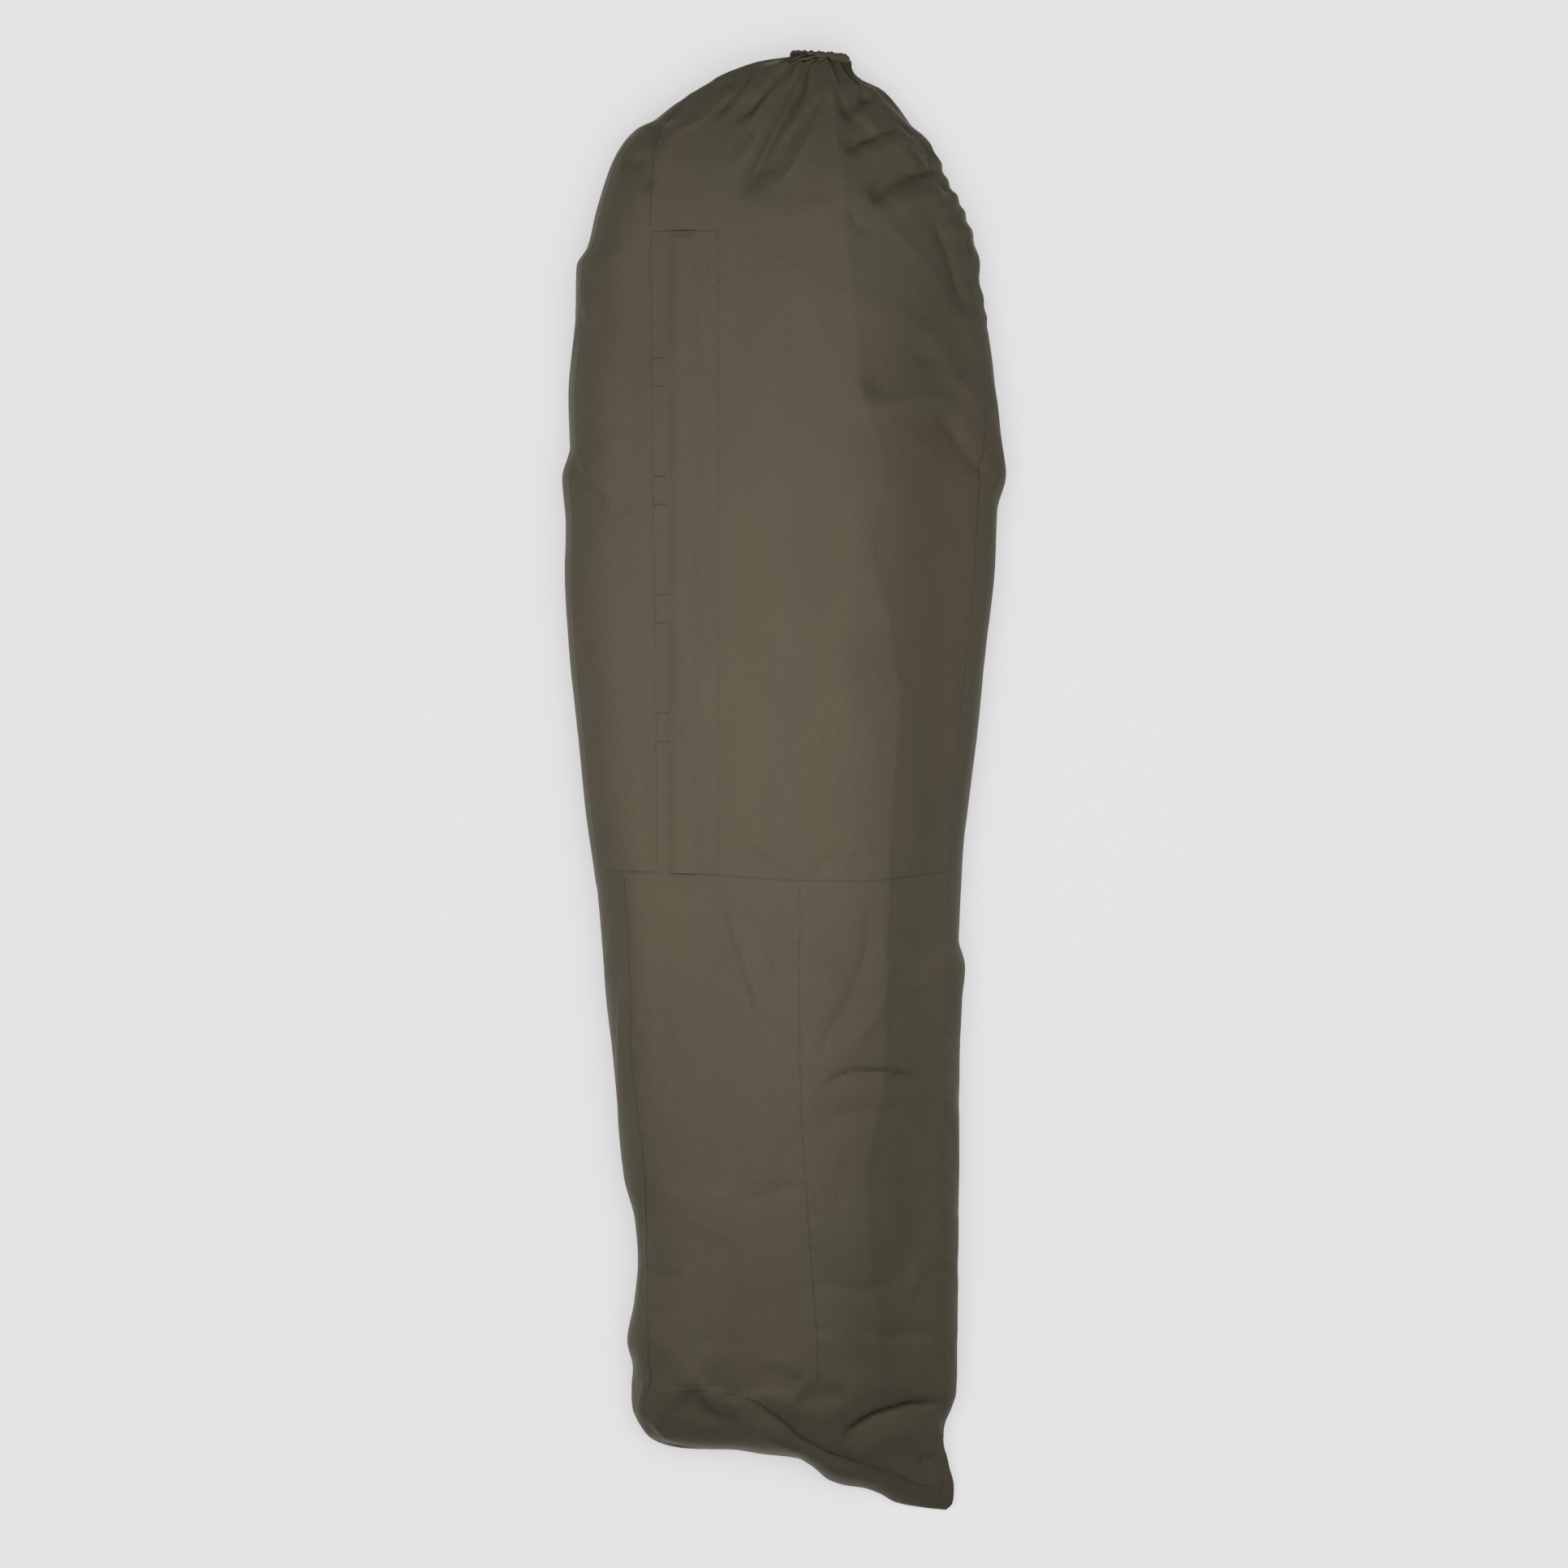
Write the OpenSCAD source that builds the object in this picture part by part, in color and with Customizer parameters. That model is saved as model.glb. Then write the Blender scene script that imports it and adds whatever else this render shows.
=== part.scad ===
// Bivy sack: a hooded, zipped sleeping-bag cover of three-layer cloth, filled out as in use and lying on its base.
// X runs across the sack, Y from the foot to the hood and Z up from the ground, in millimetres.
// The origin is the middle of the outline, on the ground.

/* [Cloth shell] */
// Height of the filled sack over the chest
chest_height = 230; // [180:5:270]
// Thickness of the cloth walls
cloth = 3; // [2:0.5:4]
// How far the top falls away for each square millimetre off its ridge
crown_fall = 0.0004; // [0.0002:0.0001:0.0006]
// Width of the rounded left shoulder of the section
left_shoulder = 100; // [90:5:100]
// How much of the right slope is nearly level before it falls away
right_brow = 0.2; // [0.1:0.05:0.4]
// Width of the curve between the widest line and the ground
tuck = 45; // [30:5:60]

/* [Zip and storm flap] */
// Place of the zip across the sack
zip_x = -150; // [-155:1:-145]
// Width of one zip tape
tape_width = 15; // [12:1:18]
// Width of the slot between the cloth edges over the zip
zip_slot = 14; // [13:1:16]
// Width of the loose part of the storm flap
flap_width = 83; // [75:1:90]
// Width of the sewn-down edge of the storm flap
flap_sewn = 19; // [12:1:24]
// Thickness of the storm flap
flap_cloth = 1.5; // [1:0.1:2]
// Clear height under the flap over the zip
flap_arch = 6.5; // [6:0.5:9]
// Number of hook-and-loop pads
pad_count = 4; // [2:1:4]
// Distance between the pads
pad_pitch = 184; // [150:1:190]
// Length of one pad
pad_length = 45; // [30:1:60]
// Width of one pad
pad_width = 20; // [16:1:25]

/* [Hood mouth] */
// Radius of the drawn-up hem of the hood
mouth_radius = 40; // [38:1:42]
// Radius of the gathered hem's section
hem_radius = 8; // [7:0.5:9]
// Radius of the drawcord
cord_radius = 2; // [1.5:0.1:2.5]
// Radius of the cord lock's barrel
lock_radius = 9; // [8:0.5:10]
// Length of the cord lock, button and all
lock_length = 20; // [19:1:21]
// How far the cord lock's button stands out
button_out = 4.5; // [4:0.5:5]

/* [Seam tape] */
// Width of the sealing tape inside each seam
seam_tape_width = 20; // [14:1:24]
// Thickness of the sealing tape
seam_tape = 0.6; // [0.4:0.1:1]

/* [Hidden] */

// Colours of the cloth, the trims and the metal
olive = [0.29, 0.27, 0.21];
dark_olive = [0.2, 0.19, 0.14];
trim_black = [0.06, 0.06, 0.055];
zinc = [0.45, 0.44, 0.4];

// Landmarks along the sack
cross_y = -140;
zip_top_y = 860;
hood_turn_y = 1030;
mouth_y = 1134;
first_pad_y = 88;

// The outline, station by station from the foot to the hood mouth:
// place, left edge, right edge, height of the underside, height of the ridge, slant of the foot, flatness of
// the ear, and the crest where the top starts to fall away to the right
STATIONS = [
    [-1052, -170, 258, 0, 70, 94.2, 0.68, 150],
    [-1038, -207, 269, 0, 112, 88, 0.6, 150],
    [-1000, -233, 259, 0, 163, 60, 0.4, 150],
    [-940, -238, 270, 0, 191, 24, 0.15, 150],
    [-860, -243, 273, 0, 204, 0, 0, 148],
    [-740, -230, 275, 0, 211, 0, 0, 135],
    [-620, -250, 275, 0, 217, 0, 0, 124],
    [-430, -271, 277, 0, 224, 0, 0, 130],
    [cross_y, -299, 281, 0, chest_height, 0, 0, 168],
    [150, -331, 312, 0, chest_height, 0, 0, 172],
    [470, -346, 346, 0, chest_height, 0, 0, 126],
    [660, -335, 329, 0, chest_height, 0, 0, 112],
    [zip_top_y, -308, 300, 0, chest_height, 0, 0, 98],
    [955, -279, 256, 0, 219, 0, 0, 90],
    [hood_turn_y, -228, 208, 0, 198, 0, 0, 82],
    [1085, -145, 165, 14, 170, 0, 0, 72],
    [1120, -60, 115, 34, 143, 0, 0, 66],
    [mouth_y, 16, 96, 49, 129, 0, 0, 64]
];
LAST = len(STATIONS) - 1;
LEFT = 1;
RIGHT = 2;
UNDER = 3;
TOP = 4;
SLANT = 5;
EAR = 6;
CREST = 7;

ridge_x = 20;
widest_share = 0.38;
rows_per_station = 2;
mouth_x = 56;
mouth_z = 89;
end_gap = 1;

// ---- Curves through the stations ----
function lerp(a, b, f) = a + (b - a) * f;
function smooth(f) = let (c = max(0, min(1, f))) c * c * (3 - 2 * c);
function rise(c, i) = (STATIONS[i + 1][c] - STATIONS[i][c]) / (STATIONS[i + 1][0] - STATIONS[i][0]);
function turn(a, b) = a * b <= 0 ? 0 : 2 * a * b / (a + b);
function tangent(c, i) = i == 0 ? rise(c, 0) : i == LAST ? rise(c, LAST - 1) : turn(rise(c, i - 1), rise(c, i));
function segment(y, i = 0) = i >= LAST - 1 || y <= STATIONS[i + 1][0] ? i : segment(y, i + 1);

// Value of column c at y, by a cubic that never overshoots its stations
function at(c, y) =
    let (i = segment(y), step = STATIONS[i + 1][0] - STATIONS[i][0], f = (y - STATIONS[i][0]) / step)
    STATIONS[i][c] * (1 + 2 * f) * (1 - f) * (1 - f)
    + tangent(c, i) * step * f * (1 - f) * (1 - f)
    + STATIONS[i + 1][c] * f * f * (3 - 2 * f)
    + tangent(c, i + 1) * step * f * f * (f - 1);

function rows(y0, y1) = [
    for (i = [0 : LAST - 1], k = [0 : rows_per_station - 1])
        let (y = lerp(STATIONS[i][0], STATIONS[i + 1][0], k / rows_per_station))
        if (y >= y0 && y < y1) y,
    y1
];

// ---- The section ----
function width(y) = at(RIGHT, y) - at(LEFT, y);
function shoulder_l(y) = min(left_shoulder, 0.4 * width(y));
function tuck_at(y) = min(tuck, 0.3 * width(y));
function crown_l(y) = at(LEFT, y) + shoulder_l(y);
function crown_r(y) = at(CREST, y);
function crown_z(x, y) = at(TOP, y) - crown_fall * (x - ridge_x) * (x - ridge_x);
function widest_z(y) = lerp(at(UNDER, y), at(TOP, y), widest_share);

// Point at f along a cubic Bezier curve with these four control points
function curve(p, f) =
    pow(1 - f, 3) * p[0] + 3 * pow(1 - f, 2) * f * p[1] + 3 * (1 - f) * f * f * p[2] + pow(f, 3) * p[3];

// The right slope: from the crest (0) down to the right widest line (1), pared by d
function right_slope(y, f, d) =
    let (
        r = at(RIGHT, y), c = crown_r(y), zw = widest_z(y), zc = crown_z(c, y),
        steep = at(TOP, y) - zw
    )
    curve([
        [c, zc - d], [c + right_brow * (r - c), zc - 0.07 * steep - d],
        [r - 4 - d, zw + 0.5 * (steep - d)], [r - d, zw]
    ], f);

// Point of the section at station y, in its own plane, with the wall pared by d.
// t goes from the ground on the left (0) over the widest line (1), the crown (2 to 3) and
// the right widest line (4) to the ground (5), then back under the sack (6).
function section(y, t, d) =
    let (l = at(LEFT, y), r = at(RIGHT, y), sl = shoulder_l(y), k = tuck_at(y), zw = widest_z(y), zu = at(UNDER, y))
    t <= 1 ? [l + k - (k - d) * sin(90 * t), zw - (zw - zu - d) * cos(90 * t)]
    : t <= 2 ? [l + sl - (sl - d) * cos(90 * (t - 1)),
                zw + (crown_z(l + sl, y) - d - zw) * sin(90 * (t - 1))]
    : t <= 3 ? let (x = lerp(l + sl, crown_r(y), t - 2)) [x, crown_z(x, y) - d]
    : t <= 4 ? right_slope(y, t - 3, d)
    : t <= 5 ? [r - k + (k - d) * sin(90 * (5 - t)), zw - (zw - zu - d) * cos(90 * (5 - t))]
    : [lerp(r - k, l + k, t - 5), zu + d];

// How far the foot end slants away at x, and how flat its right ear lies there
function across(x, y) = (x - at(LEFT, y)) / width(y);
function slant(x, y) = at(SLANT, y) * smooth((across(x, y) - 0.35) / 0.6);
function ear_scale(x, y) = 1 - at(EAR, y) * smooth((across(x, y) - 0.5) / 0.5);

function wall_point(y, t, d) =
    let (p = section(y, t, d))
    [p[0], y - slant(p[0], y), p[1] * ear_scale(p[0], y)];

// Section parameter of a line on the crown, or of a seam at an inset from either widest line
function t_at_x(x, y) = 2 + (x - crown_l(y)) / (crown_r(y) - crown_l(y));
function t_inset_left(y, inset) = 1 + acos(1 - min(inset, shoulder_l(y)) / shoulder_l(y)) / 90;
function t_inset_right(y, inset, low = 0, high = 1, tries = 20) =
    let (f = (low + high) / 2)
    tries == 0 ? 3 + f
    : right_slope(y, f, 0)[0] < at(RIGHT, y) - inset ? t_inset_right(y, inset, f, high, tries - 1)
    : t_inset_right(y, inset, low, f, tries - 1);

// ---- Seam lines ----
function lower_left_seam(y) = t_inset_left(y, lerp(18, 52, smooth((y + 720) / 560)));
function upper_left_seam(y) = t_inset_left(y, 14);
function right_seam(y) = t_inset_right(y, lerp(16, 34, smooth((y - cross_y) / 500)));
function centre_seam(y) = t_at_x(lerp(52, 25, smooth((y + 1000) / 890)), y);
function slot_left(y) = t_at_x(zip_x - zip_slot / 2, y);
function slot_right(y) = t_at_x(zip_x + zip_slot / 2, y);
function hood_seam(y) = t_inset_left(y, lerp(left_shoulder, 24, smooth((y - zip_top_y) / 200)));
function ground_left(y) = 0;
function ground_right(y) = 5;

// ---- Curved cloth pieces ----
// A piece between the section lines t0s and t1s at the rows ys, from wall depth d0 to d1
module cloth_piece(ys, t0s, t1s, columns, d0 = 0, d1 = cloth) {
    m = len(ys);
    n = columns + 1;
    function grid(d) = [
        for (i = [0 : m - 1], j = [0 : columns]) wall_point(ys[i], lerp(t0s[i], t1s[i], j / columns), d)
    ];
    function o(i, j) = i * n + j;
    function k(i, j) = m * n + i * n + j;
    outer = [for (i = [0 : m - 2], j = [0 : columns - 1]) each [
        [o(i, j), o(i + 1, j), o(i + 1, j + 1)], [o(i, j), o(i + 1, j + 1), o(i, j + 1)]
    ]];
    inner = [for (i = [0 : m - 2], j = [0 : columns - 1]) each [
        [k(i, j), k(i + 1, j + 1), k(i + 1, j)], [k(i, j), k(i, j + 1), k(i + 1, j + 1)]
    ]];
    sides = [for (i = [0 : m - 2]) each [
        [o(i, 0), k(i + 1, 0), o(i + 1, 0)], [o(i, 0), k(i, 0), k(i + 1, 0)],
        [o(i, columns), o(i + 1, columns), k(i + 1, columns)],
        [o(i, columns), k(i + 1, columns), k(i, columns)]
    ]];
    ends = [for (j = [0 : columns - 1]) each [
        [o(0, j), o(0, j + 1), k(0, j + 1)], [o(0, j), k(0, j + 1), k(0, j)],
        [o(m - 1, j), k(m - 1, j + 1), o(m - 1, j + 1)], [o(m - 1, j), k(m - 1, j), k(m - 1, j + 1)]
    ]];
    polyhedron(concat(grid(d0), grid(d1)), concat(outer, inner, sides, ends), convexity = 6);
}

foot_rows = rows(STATIONS[0][0], cross_y);
body_rows = rows(cross_y, zip_top_y);
hood_rows = rows(zip_top_y, mouth_y);
flat_rows = rows(STATIONS[0][0], hood_turn_y);
turned_rows = rows(hood_turn_y, mouth_y);

module base_panel() color(dark_olive)
    cloth_piece(flat_rows, [for (y = flat_rows) 5], [for (y = flat_rows) 6], 16);

module hood_underside() color(dark_olive)
    cloth_piece(turned_rows, [for (y = turned_rows) 5], [for (y = turned_rows) 6], 3);

module foot_panel() {
    y = STATIONS[0][0];
    columns = 20;
    inset = 2;
    n = columns + 1;
    function halved(low, high, x, rising, tries = 24) =
        let (t = (low + high) / 2)
        tries == 0 ? t
        : (section(y, t, 0)[0] < x) == rising ? halved(t, high, x, rising, tries - 1)
        : halved(low, t, x, rising, tries - 1);
    xs = [for (k = [0 : columns]) lerp(at(LEFT, y) + inset, at(RIGHT, y) - inset, k / columns)];
    function top_z(x) = section(y, halved(1, 4, x, true), 0)[1];
    function low_z(x) =
        x < at(LEFT, y) + tuck_at(y) ? section(y, halved(0, 1, x, false), 0)[1]
        : x > at(RIGHT, y) - tuck_at(y) ? section(y, halved(4, 5, x, false), 0)[1]
        : at(UNDER, y);
    function corner(x, z, out) = [x, y - slant(x, y) - end_gap - out, z * ear_scale(x, y)];
    points = [
        for (high = [false, true], out = [0, cloth], x = xs) corner(x, high ? top_z(x) : low_z(x), out)
    ];
    function low(k, out) = out * n + k;
    function high(k, out) = (2 + out) * n + k;
    faces = [for (k = [0 : columns - 1]) each [
        [low(k, 0), low(k + 1, 0), high(k + 1, 0)], [low(k, 0), high(k + 1, 0), high(k, 0)],
        [low(k, 1), high(k + 1, 1), low(k + 1, 1)], [low(k, 1), high(k, 1), high(k + 1, 1)],
        [low(k, 0), low(k + 1, 1), low(k + 1, 0)], [low(k, 0), low(k, 1), low(k + 1, 1)],
        [high(k, 0), high(k + 1, 0), high(k + 1, 1)], [high(k, 0), high(k + 1, 1), high(k, 1)]
    ]];
    side_faces = [
        [low(0, 0), high(0, 0), high(0, 1)], [low(0, 0), high(0, 1), low(0, 1)],
        [low(columns, 0), high(columns, 1), high(columns, 0)],
        [low(columns, 0), low(columns, 1), high(columns, 1)]
    ];
    color(olive) polyhedron(points, concat(faces, side_faces), convexity = 4);
}

module lower_gusset_left() color(olive)
    cloth_piece(foot_rows, [for (y = foot_rows) 0], [for (y = foot_rows) lower_left_seam(y)], 5);

module lower_gusset_right() color(olive)
    cloth_piece(foot_rows, [for (y = foot_rows) right_seam(y)], [for (y = foot_rows) 5], 5);

module upper_gusset_left() color(olive) {
    ys = rows(cross_y, mouth_y);
    cloth_piece(ys, [for (y = ys) 0], [for (y = ys) upper_left_seam(y)], 5);
}

module upper_gusset_right() color(olive) {
    ys = rows(cross_y, mouth_y);
    cloth_piece(ys, [for (y = ys) right_seam(y)], [for (y = ys) 5], 5);
}

module lower_front_left() color(olive)
    cloth_piece(foot_rows, [for (y = foot_rows) lower_left_seam(y)],
                [for (y = foot_rows) centre_seam(y)], 8);

module lower_front_right() color(olive)
    cloth_piece(foot_rows, [for (y = foot_rows) centre_seam(y)], [for (y = foot_rows) right_seam(y)], 8);

module upper_front_left() color(olive)
    cloth_piece(body_rows, [for (y = body_rows) upper_left_seam(y)],
                [for (y = body_rows) slot_left(y)], 6);

module upper_front_right() color(olive)
    cloth_piece(body_rows, [for (y = body_rows) slot_right(y)], [for (y = body_rows) right_seam(y)], 10);

module hood_left() color(olive)
    cloth_piece(hood_rows, [for (y = hood_rows) upper_left_seam(y)],
                [for (y = hood_rows) hood_seam(y)], 6);

module hood_right() color(olive)
    cloth_piece(hood_rows, [for (y = hood_rows) hood_seam(y)], [for (y = hood_rows) right_seam(y)], 10);

// ---- Hood mouth: gathered hem, drawcord, eyelets and cord lock ----
strand_gap = 5;
lock_wall = 2;
button_radius = lock_radius - lock_wall - 0.3;
hem_y = mouth_y + hem_radius;
eyelet_z = mouth_z - mouth_radius - hem_radius;
lock_z = eyelet_z - 2 - lock_radius;

module around_mouth() translate([mouth_x, hem_y, mouth_z]) rotate([90, 0, 0]) rotate_extrude($fn = 72)
    translate([mouth_radius, 0]) children();

module strand_pair(z0, z1, r) for (side = [-1, 1])
    translate([mouth_x + side * strand_gap, hem_y, z0]) cylinder(r = r, h = z1 - z0, $fn = 24);

module hood_hem() color(dark_olive) difference() {
    around_mouth() difference() {
        circle(r = hem_radius, $fn = 32);
        circle(r = cord_radius + 1.2, $fn = 24);
    }
    strand_pair(eyelet_z - 2, mouth_z - mouth_radius, 3.1);
}

module drawcord() color(trim_black) union() {
    around_mouth() circle(r = cord_radius, $fn = 24);
    strand_pair(lock_z - lock_radius + 1, mouth_z - mouth_radius, cord_radius);
}

module eyelets() color(zinc) difference() {
    union() {
        strand_pair(eyelet_z - 1.2, eyelet_z, 4.2);
        strand_pair(eyelet_z - 1.2, eyelet_z + 2, 2.9);
    }
    strand_pair(eyelet_z - 3, eyelet_z + 4, cord_radius + 0.3);
}

// The barrel lies along Y; the two strands cross it, and the sprung button pinches them
barrel_length = lock_length - button_out;
barrel_y0 = hem_y + hem_radius - lock_length;
button_y0 = hem_y - 5;
button_travel = 3;
button_length = hem_y + hem_radius - button_y0;
module cord_lock_barrel() color(trim_black) difference() {
    translate([mouth_x, barrel_y0, lock_z]) rotate([-90, 0, 0])
        cylinder(r = lock_radius, h = barrel_length, $fn = 48);
    translate([mouth_x, barrel_y0 + lock_wall, lock_z]) rotate([-90, 0, 0])
        cylinder(r = lock_radius - lock_wall, h = lock_length, $fn = 48);
    strand_pair(lock_z - 20, lock_z + 20, cord_radius + 0.4);
}

module cord_lock_button() color(trim_black) difference() {
    translate([mouth_x, button_y0, lock_z]) rotate([-90, 0, 0])
        cylinder(r = button_radius, h = button_length, $fn = 48);
    strand_pair(lock_z - 12, lock_z + 12, cord_radius + 0.4);
    translate([0, button_travel, 0]) strand_pair(lock_z - 12, lock_z + 12, cord_radius + 0.4);
    for (side = [-1, 1])
        translate([mouth_x + side * strand_gap - cord_radius - 0.4, hem_y, lock_z - 12])
            cube([2 * cord_radius + 0.8, button_travel, 24]);
}

spring_gap = 0.2;
module cord_lock_spring() color(zinc)
    translate([mouth_x, barrel_y0 + lock_wall + spring_gap, lock_z]) rotate([-90, 0, 0]) difference() {
        h = button_y0 - barrel_y0 - lock_wall - 2 * spring_gap;
        cylinder(r = 4, h = h, $fn = 32);
        translate([0, 0, -1]) cylinder(r = 3, h = h + 2, $fn = 32);
    }

// ---- Zip: all of it is straight, along the line where the cloth's slot runs ----
zip_slope = 2 * crown_fall * (ridge_x - zip_x);
zip_tilt = atan(zip_slope);
zip_z = chest_height - crown_fall * pow(zip_x - ridge_x, 2);
zip_y0 = cross_y + 6;
zip_y1 = zip_top_y - 4;
tape_top = -cloth - 0.3;
tape_thick = 0.8;
coil_half_gap = 0.8;
coil_width = 2.6;
coil_height = 2.4;

// Places its children with the zip's own X across, Y along and Z out of the cloth
module on_zip(y) translate([zip_x, y, zip_z]) rotate([0, -zip_tilt, 0]) children();

module zip_bar(x0, x1, z0, z1, y0, y1) on_zip(y0) translate([x0, 0, z0]) cube([x1 - x0, y1 - y0, z1 - z0]);

module zip_tape(side) color(trim_black) {
    inner = side * coil_half_gap;
    outer = side * tape_width;
    zip_bar(min(inner, outer), max(inner, outer), tape_top - tape_thick, tape_top, zip_y0, zip_y1);
}

module zip_coil(side) color(trim_black) {
    inner = side * coil_half_gap;
    outer = side * (coil_half_gap + coil_width);
    zip_bar(min(inner, outer), max(inner, outer), tape_top, tape_top + coil_height, zip_y0 + 8, zip_y1 - 6);
}

module zip_stop(y) color(trim_black)
    zip_bar(-3.4, 3.4, tape_top, tape_top + coil_height + 0.2, y, y + 4);

slider_length = 15;
slider_half = 5.5;
slider_y = zip_y1 - 7 - slider_length;
slider_floor = tape_top - tape_thick - 0.4;
slider_roof = tape_top + coil_height + 0.4;
plate = 1.4;
bridge_out = 1.9;
bridge_top_z = slider_roof + plate + bridge_out;
bridge_low_z = slider_floor - plate - bridge_out;
pivot_y = 4.5;
bridge_half = 3.4;
leg = 1;

module zip_slider() color(zinc) on_zip(slider_y) union() {
    // upper and lower plates
    for (z = [slider_floor - plate, slider_roof])
        translate([-slider_half, 0, z]) cube([2 * slider_half, slider_length, plate]);
    // post that runs between the two coils
    translate([-0.5, slider_length - 4, slider_floor - 0.2])
        cube([1, 4, slider_roof - slider_floor + 0.4]);
    // flanges that keep the coils in
    for (x = [-slider_half, slider_half - 0.9])
        translate([x, 0, tape_top + 0.4]) cube([0.9, slider_length, slider_roof - tape_top - 0.2]);
    // bridges that hold the pulls, above and below
    for (z = [bridge_top_z, bridge_low_z])
        translate([-bridge_half, pivot_y, z]) rotate([0, 90, 0]) cylinder(r = 0.6, h = 2 * bridge_half, $fn = 24);
    for (z = [slider_roof, bridge_low_z - 0.6], x = [-bridge_half, bridge_half - leg])
        translate([x, pivot_y - 0.8, z]) cube([leg, 1.6, plate + bridge_out + 0.6]);
}

eye_radius = 1.35;
pull_length = 28;
// A pull tab whose eye goes round the bridge, with the tab running along -Y from it
module pull_tab(length) {
    rotate([0, 90, 0]) translate([0, 0, -2]) difference() {
        cylinder(r = eye_radius, h = 4, $fn = 32);
        translate([0, 0, -1]) cylinder(r = 0.7, h = 6, $fn = 32);
    }
    translate([-2, -4, -0.6]) cube([4, 2.75, 1.2]);
    difference() {
        translate([0, 0, -0.6]) linear_extrude(1.2) hull() {
            translate([-3, -6]) square([6, 2]);
            translate([0, 4 - length]) circle(r = 4, $fn = 32);
        }
        translate([0, 4 - length, -1]) cylinder(r = 1.8, h = 2, $fn = 24);
    }
}

module outer_pull() color(zinc) on_zip(slider_y) translate([0, pivot_y, bridge_top_z]) pull_tab(pull_length);

module inner_pull() color(zinc) on_zip(slider_y)
    translate([0, pivot_y, bridge_low_z]) rotate([90, 0, 0]) pull_tab(pull_length);

// ---- Storm flap ----
flap_hinge_x = zip_x + 28;
flap_edge_x = flap_hinge_x - flap_width;
flap_y0 = cross_y + 1;
flap_y1 = zip_top_y - 1;
flap_gap = 0.3;
pad_thick = 1.1;
pad_seat = 0.05;
pads_high = 2 * pad_thick + pad_seat + 2 * flap_gap;

function chest_z(x) = chest_height - crown_fall * (x - ridge_x) * (x - ridge_x);
// Height of the flap's underside over the cloth: low at both edges, arched over the zip
function flap_lift(x) =
    x > zip_x ? lerp(flap_gap, flap_arch, smooth((flap_hinge_x - x) / (flap_hinge_x - zip_x - 10)))
    : lerp(pads_high, flap_arch, smooth((x - flap_edge_x - pad_width) / 22));

module along_y(y0, y1) translate([0, y1, 0]) rotate([90, 0, 0]) linear_extrude(y1 - y0) children();

module strip_over_cloth(x0, x1, lift, thick, steps = 1) {
    xs = [for (k = [0 : steps]) lerp(x0, x1, k / steps)];
    polygon(concat(
        [for (x = xs) [x, chest_z(x) + lift]],
        [for (k = [steps : -1 : 0]) [xs[k], chest_z(xs[k]) + lift + thick]]
    ));
}

module storm_flap() color(olive) along_y(flap_y0, flap_y1) {
    steps = 24;
    xs = [for (k = [0 : steps]) lerp(flap_edge_x, flap_hinge_x, k / steps)];
    polygon(concat(
        [for (x = xs) [x, chest_z(x) + flap_lift(x)]],
        [for (k = [steps : -1 : 0]) [xs[k], chest_z(xs[k]) + flap_lift(xs[k]) + flap_cloth]]
    ));
}

module flap_sewn_edge() color(olive) along_y(flap_y0, flap_y1)
    strip_over_cloth(flap_hinge_x + 0.4, flap_hinge_x + flap_sewn, pad_seat, flap_cloth, 4);

module pads(lift) for (k = [0 : pad_count - 1]) {
    y = first_pad_y + k * pad_pitch;
    along_y(y - pad_length / 2, y + pad_length / 2)
        strip_over_cloth(flap_edge_x + 1, flap_edge_x + 1 + pad_width, lift, pad_thick);
}

module hook_pads() color(trim_black) pads(pads_high - pad_thick - pad_seat);
module loop_pads() color(dark_olive) pads(pad_seat);

// ---- Sealing tape inside the seams ----
// Section parameter a given distance across from t, near enough for a narrow tape
function beside(y, t, mm) =
    let (a = section(y, t, 0), b = section(y, t + 0.02, 0)) t + 0.02 * mm / norm(b - a);

module tape_along(ys, ts) color(dark_olive)
    cloth_piece(ys, [for (i = [0 : len(ys) - 1]) beside(ys[i], ts[i], -seam_tape_width / 2)],
                [for (i = [0 : len(ys) - 1]) beside(ys[i], ts[i], seam_tape_width / 2)],
                2, cloth, cloth + seam_tape);

lower_tape_rows = concat(rows(-940, cross_y - 40), [cross_y - seam_tape_width]);

module centre_seam_tape() tape_along(lower_tape_rows, [for (y = lower_tape_rows) centre_seam(y)]);
module left_seam_tape() tape_along(lower_tape_rows, [for (y = lower_tape_rows) lower_left_seam(y)]);
module right_seam_tape() tape_along(lower_tape_rows, [for (y = lower_tape_rows) right_seam(y)]);
module hood_seam_tape() {
    ys = rows(zip_top_y, 1100);
    tape_along(ys, [for (y = ys) hood_seam(y)]);
}
module cross_seam_tape() color(dark_olive) {
    ys = [cross_y - seam_tape_width / 2, cross_y];
    cloth_piece(ys, [for (y = ys) beside(y, lower_left_seam(cross_y), 14)],
                [for (y = ys) beside(y, right_seam(cross_y), -14)], 18, cloth, cloth + seam_tape);
}

base_panel();
hood_underside();
foot_panel();
lower_gusset_left();
lower_gusset_right();
upper_gusset_left();
upper_gusset_right();
lower_front_left();
lower_front_right();
upper_front_left();
upper_front_right();
hood_left();
hood_right();
hood_hem();
drawcord();
eyelets();
cord_lock_barrel();
cord_lock_button();
cord_lock_spring();
zip_tape(-1);  // zip_tape_left
zip_tape(1);  // zip_tape_right
zip_coil(-1);  // zip_coil_left
zip_coil(1);  // zip_coil_right
zip_stop(zip_y1 - 5);  // zip_top_stop
zip_stop(zip_y0 + 3);  // zip_bottom_stop
zip_slider();
outer_pull();
inner_pull();
storm_flap();
flap_sewn_edge();
hook_pads();
loop_pads();
cross_seam_tape();
centre_seam_tape();
left_seam_tape();
right_seam_tape();
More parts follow.
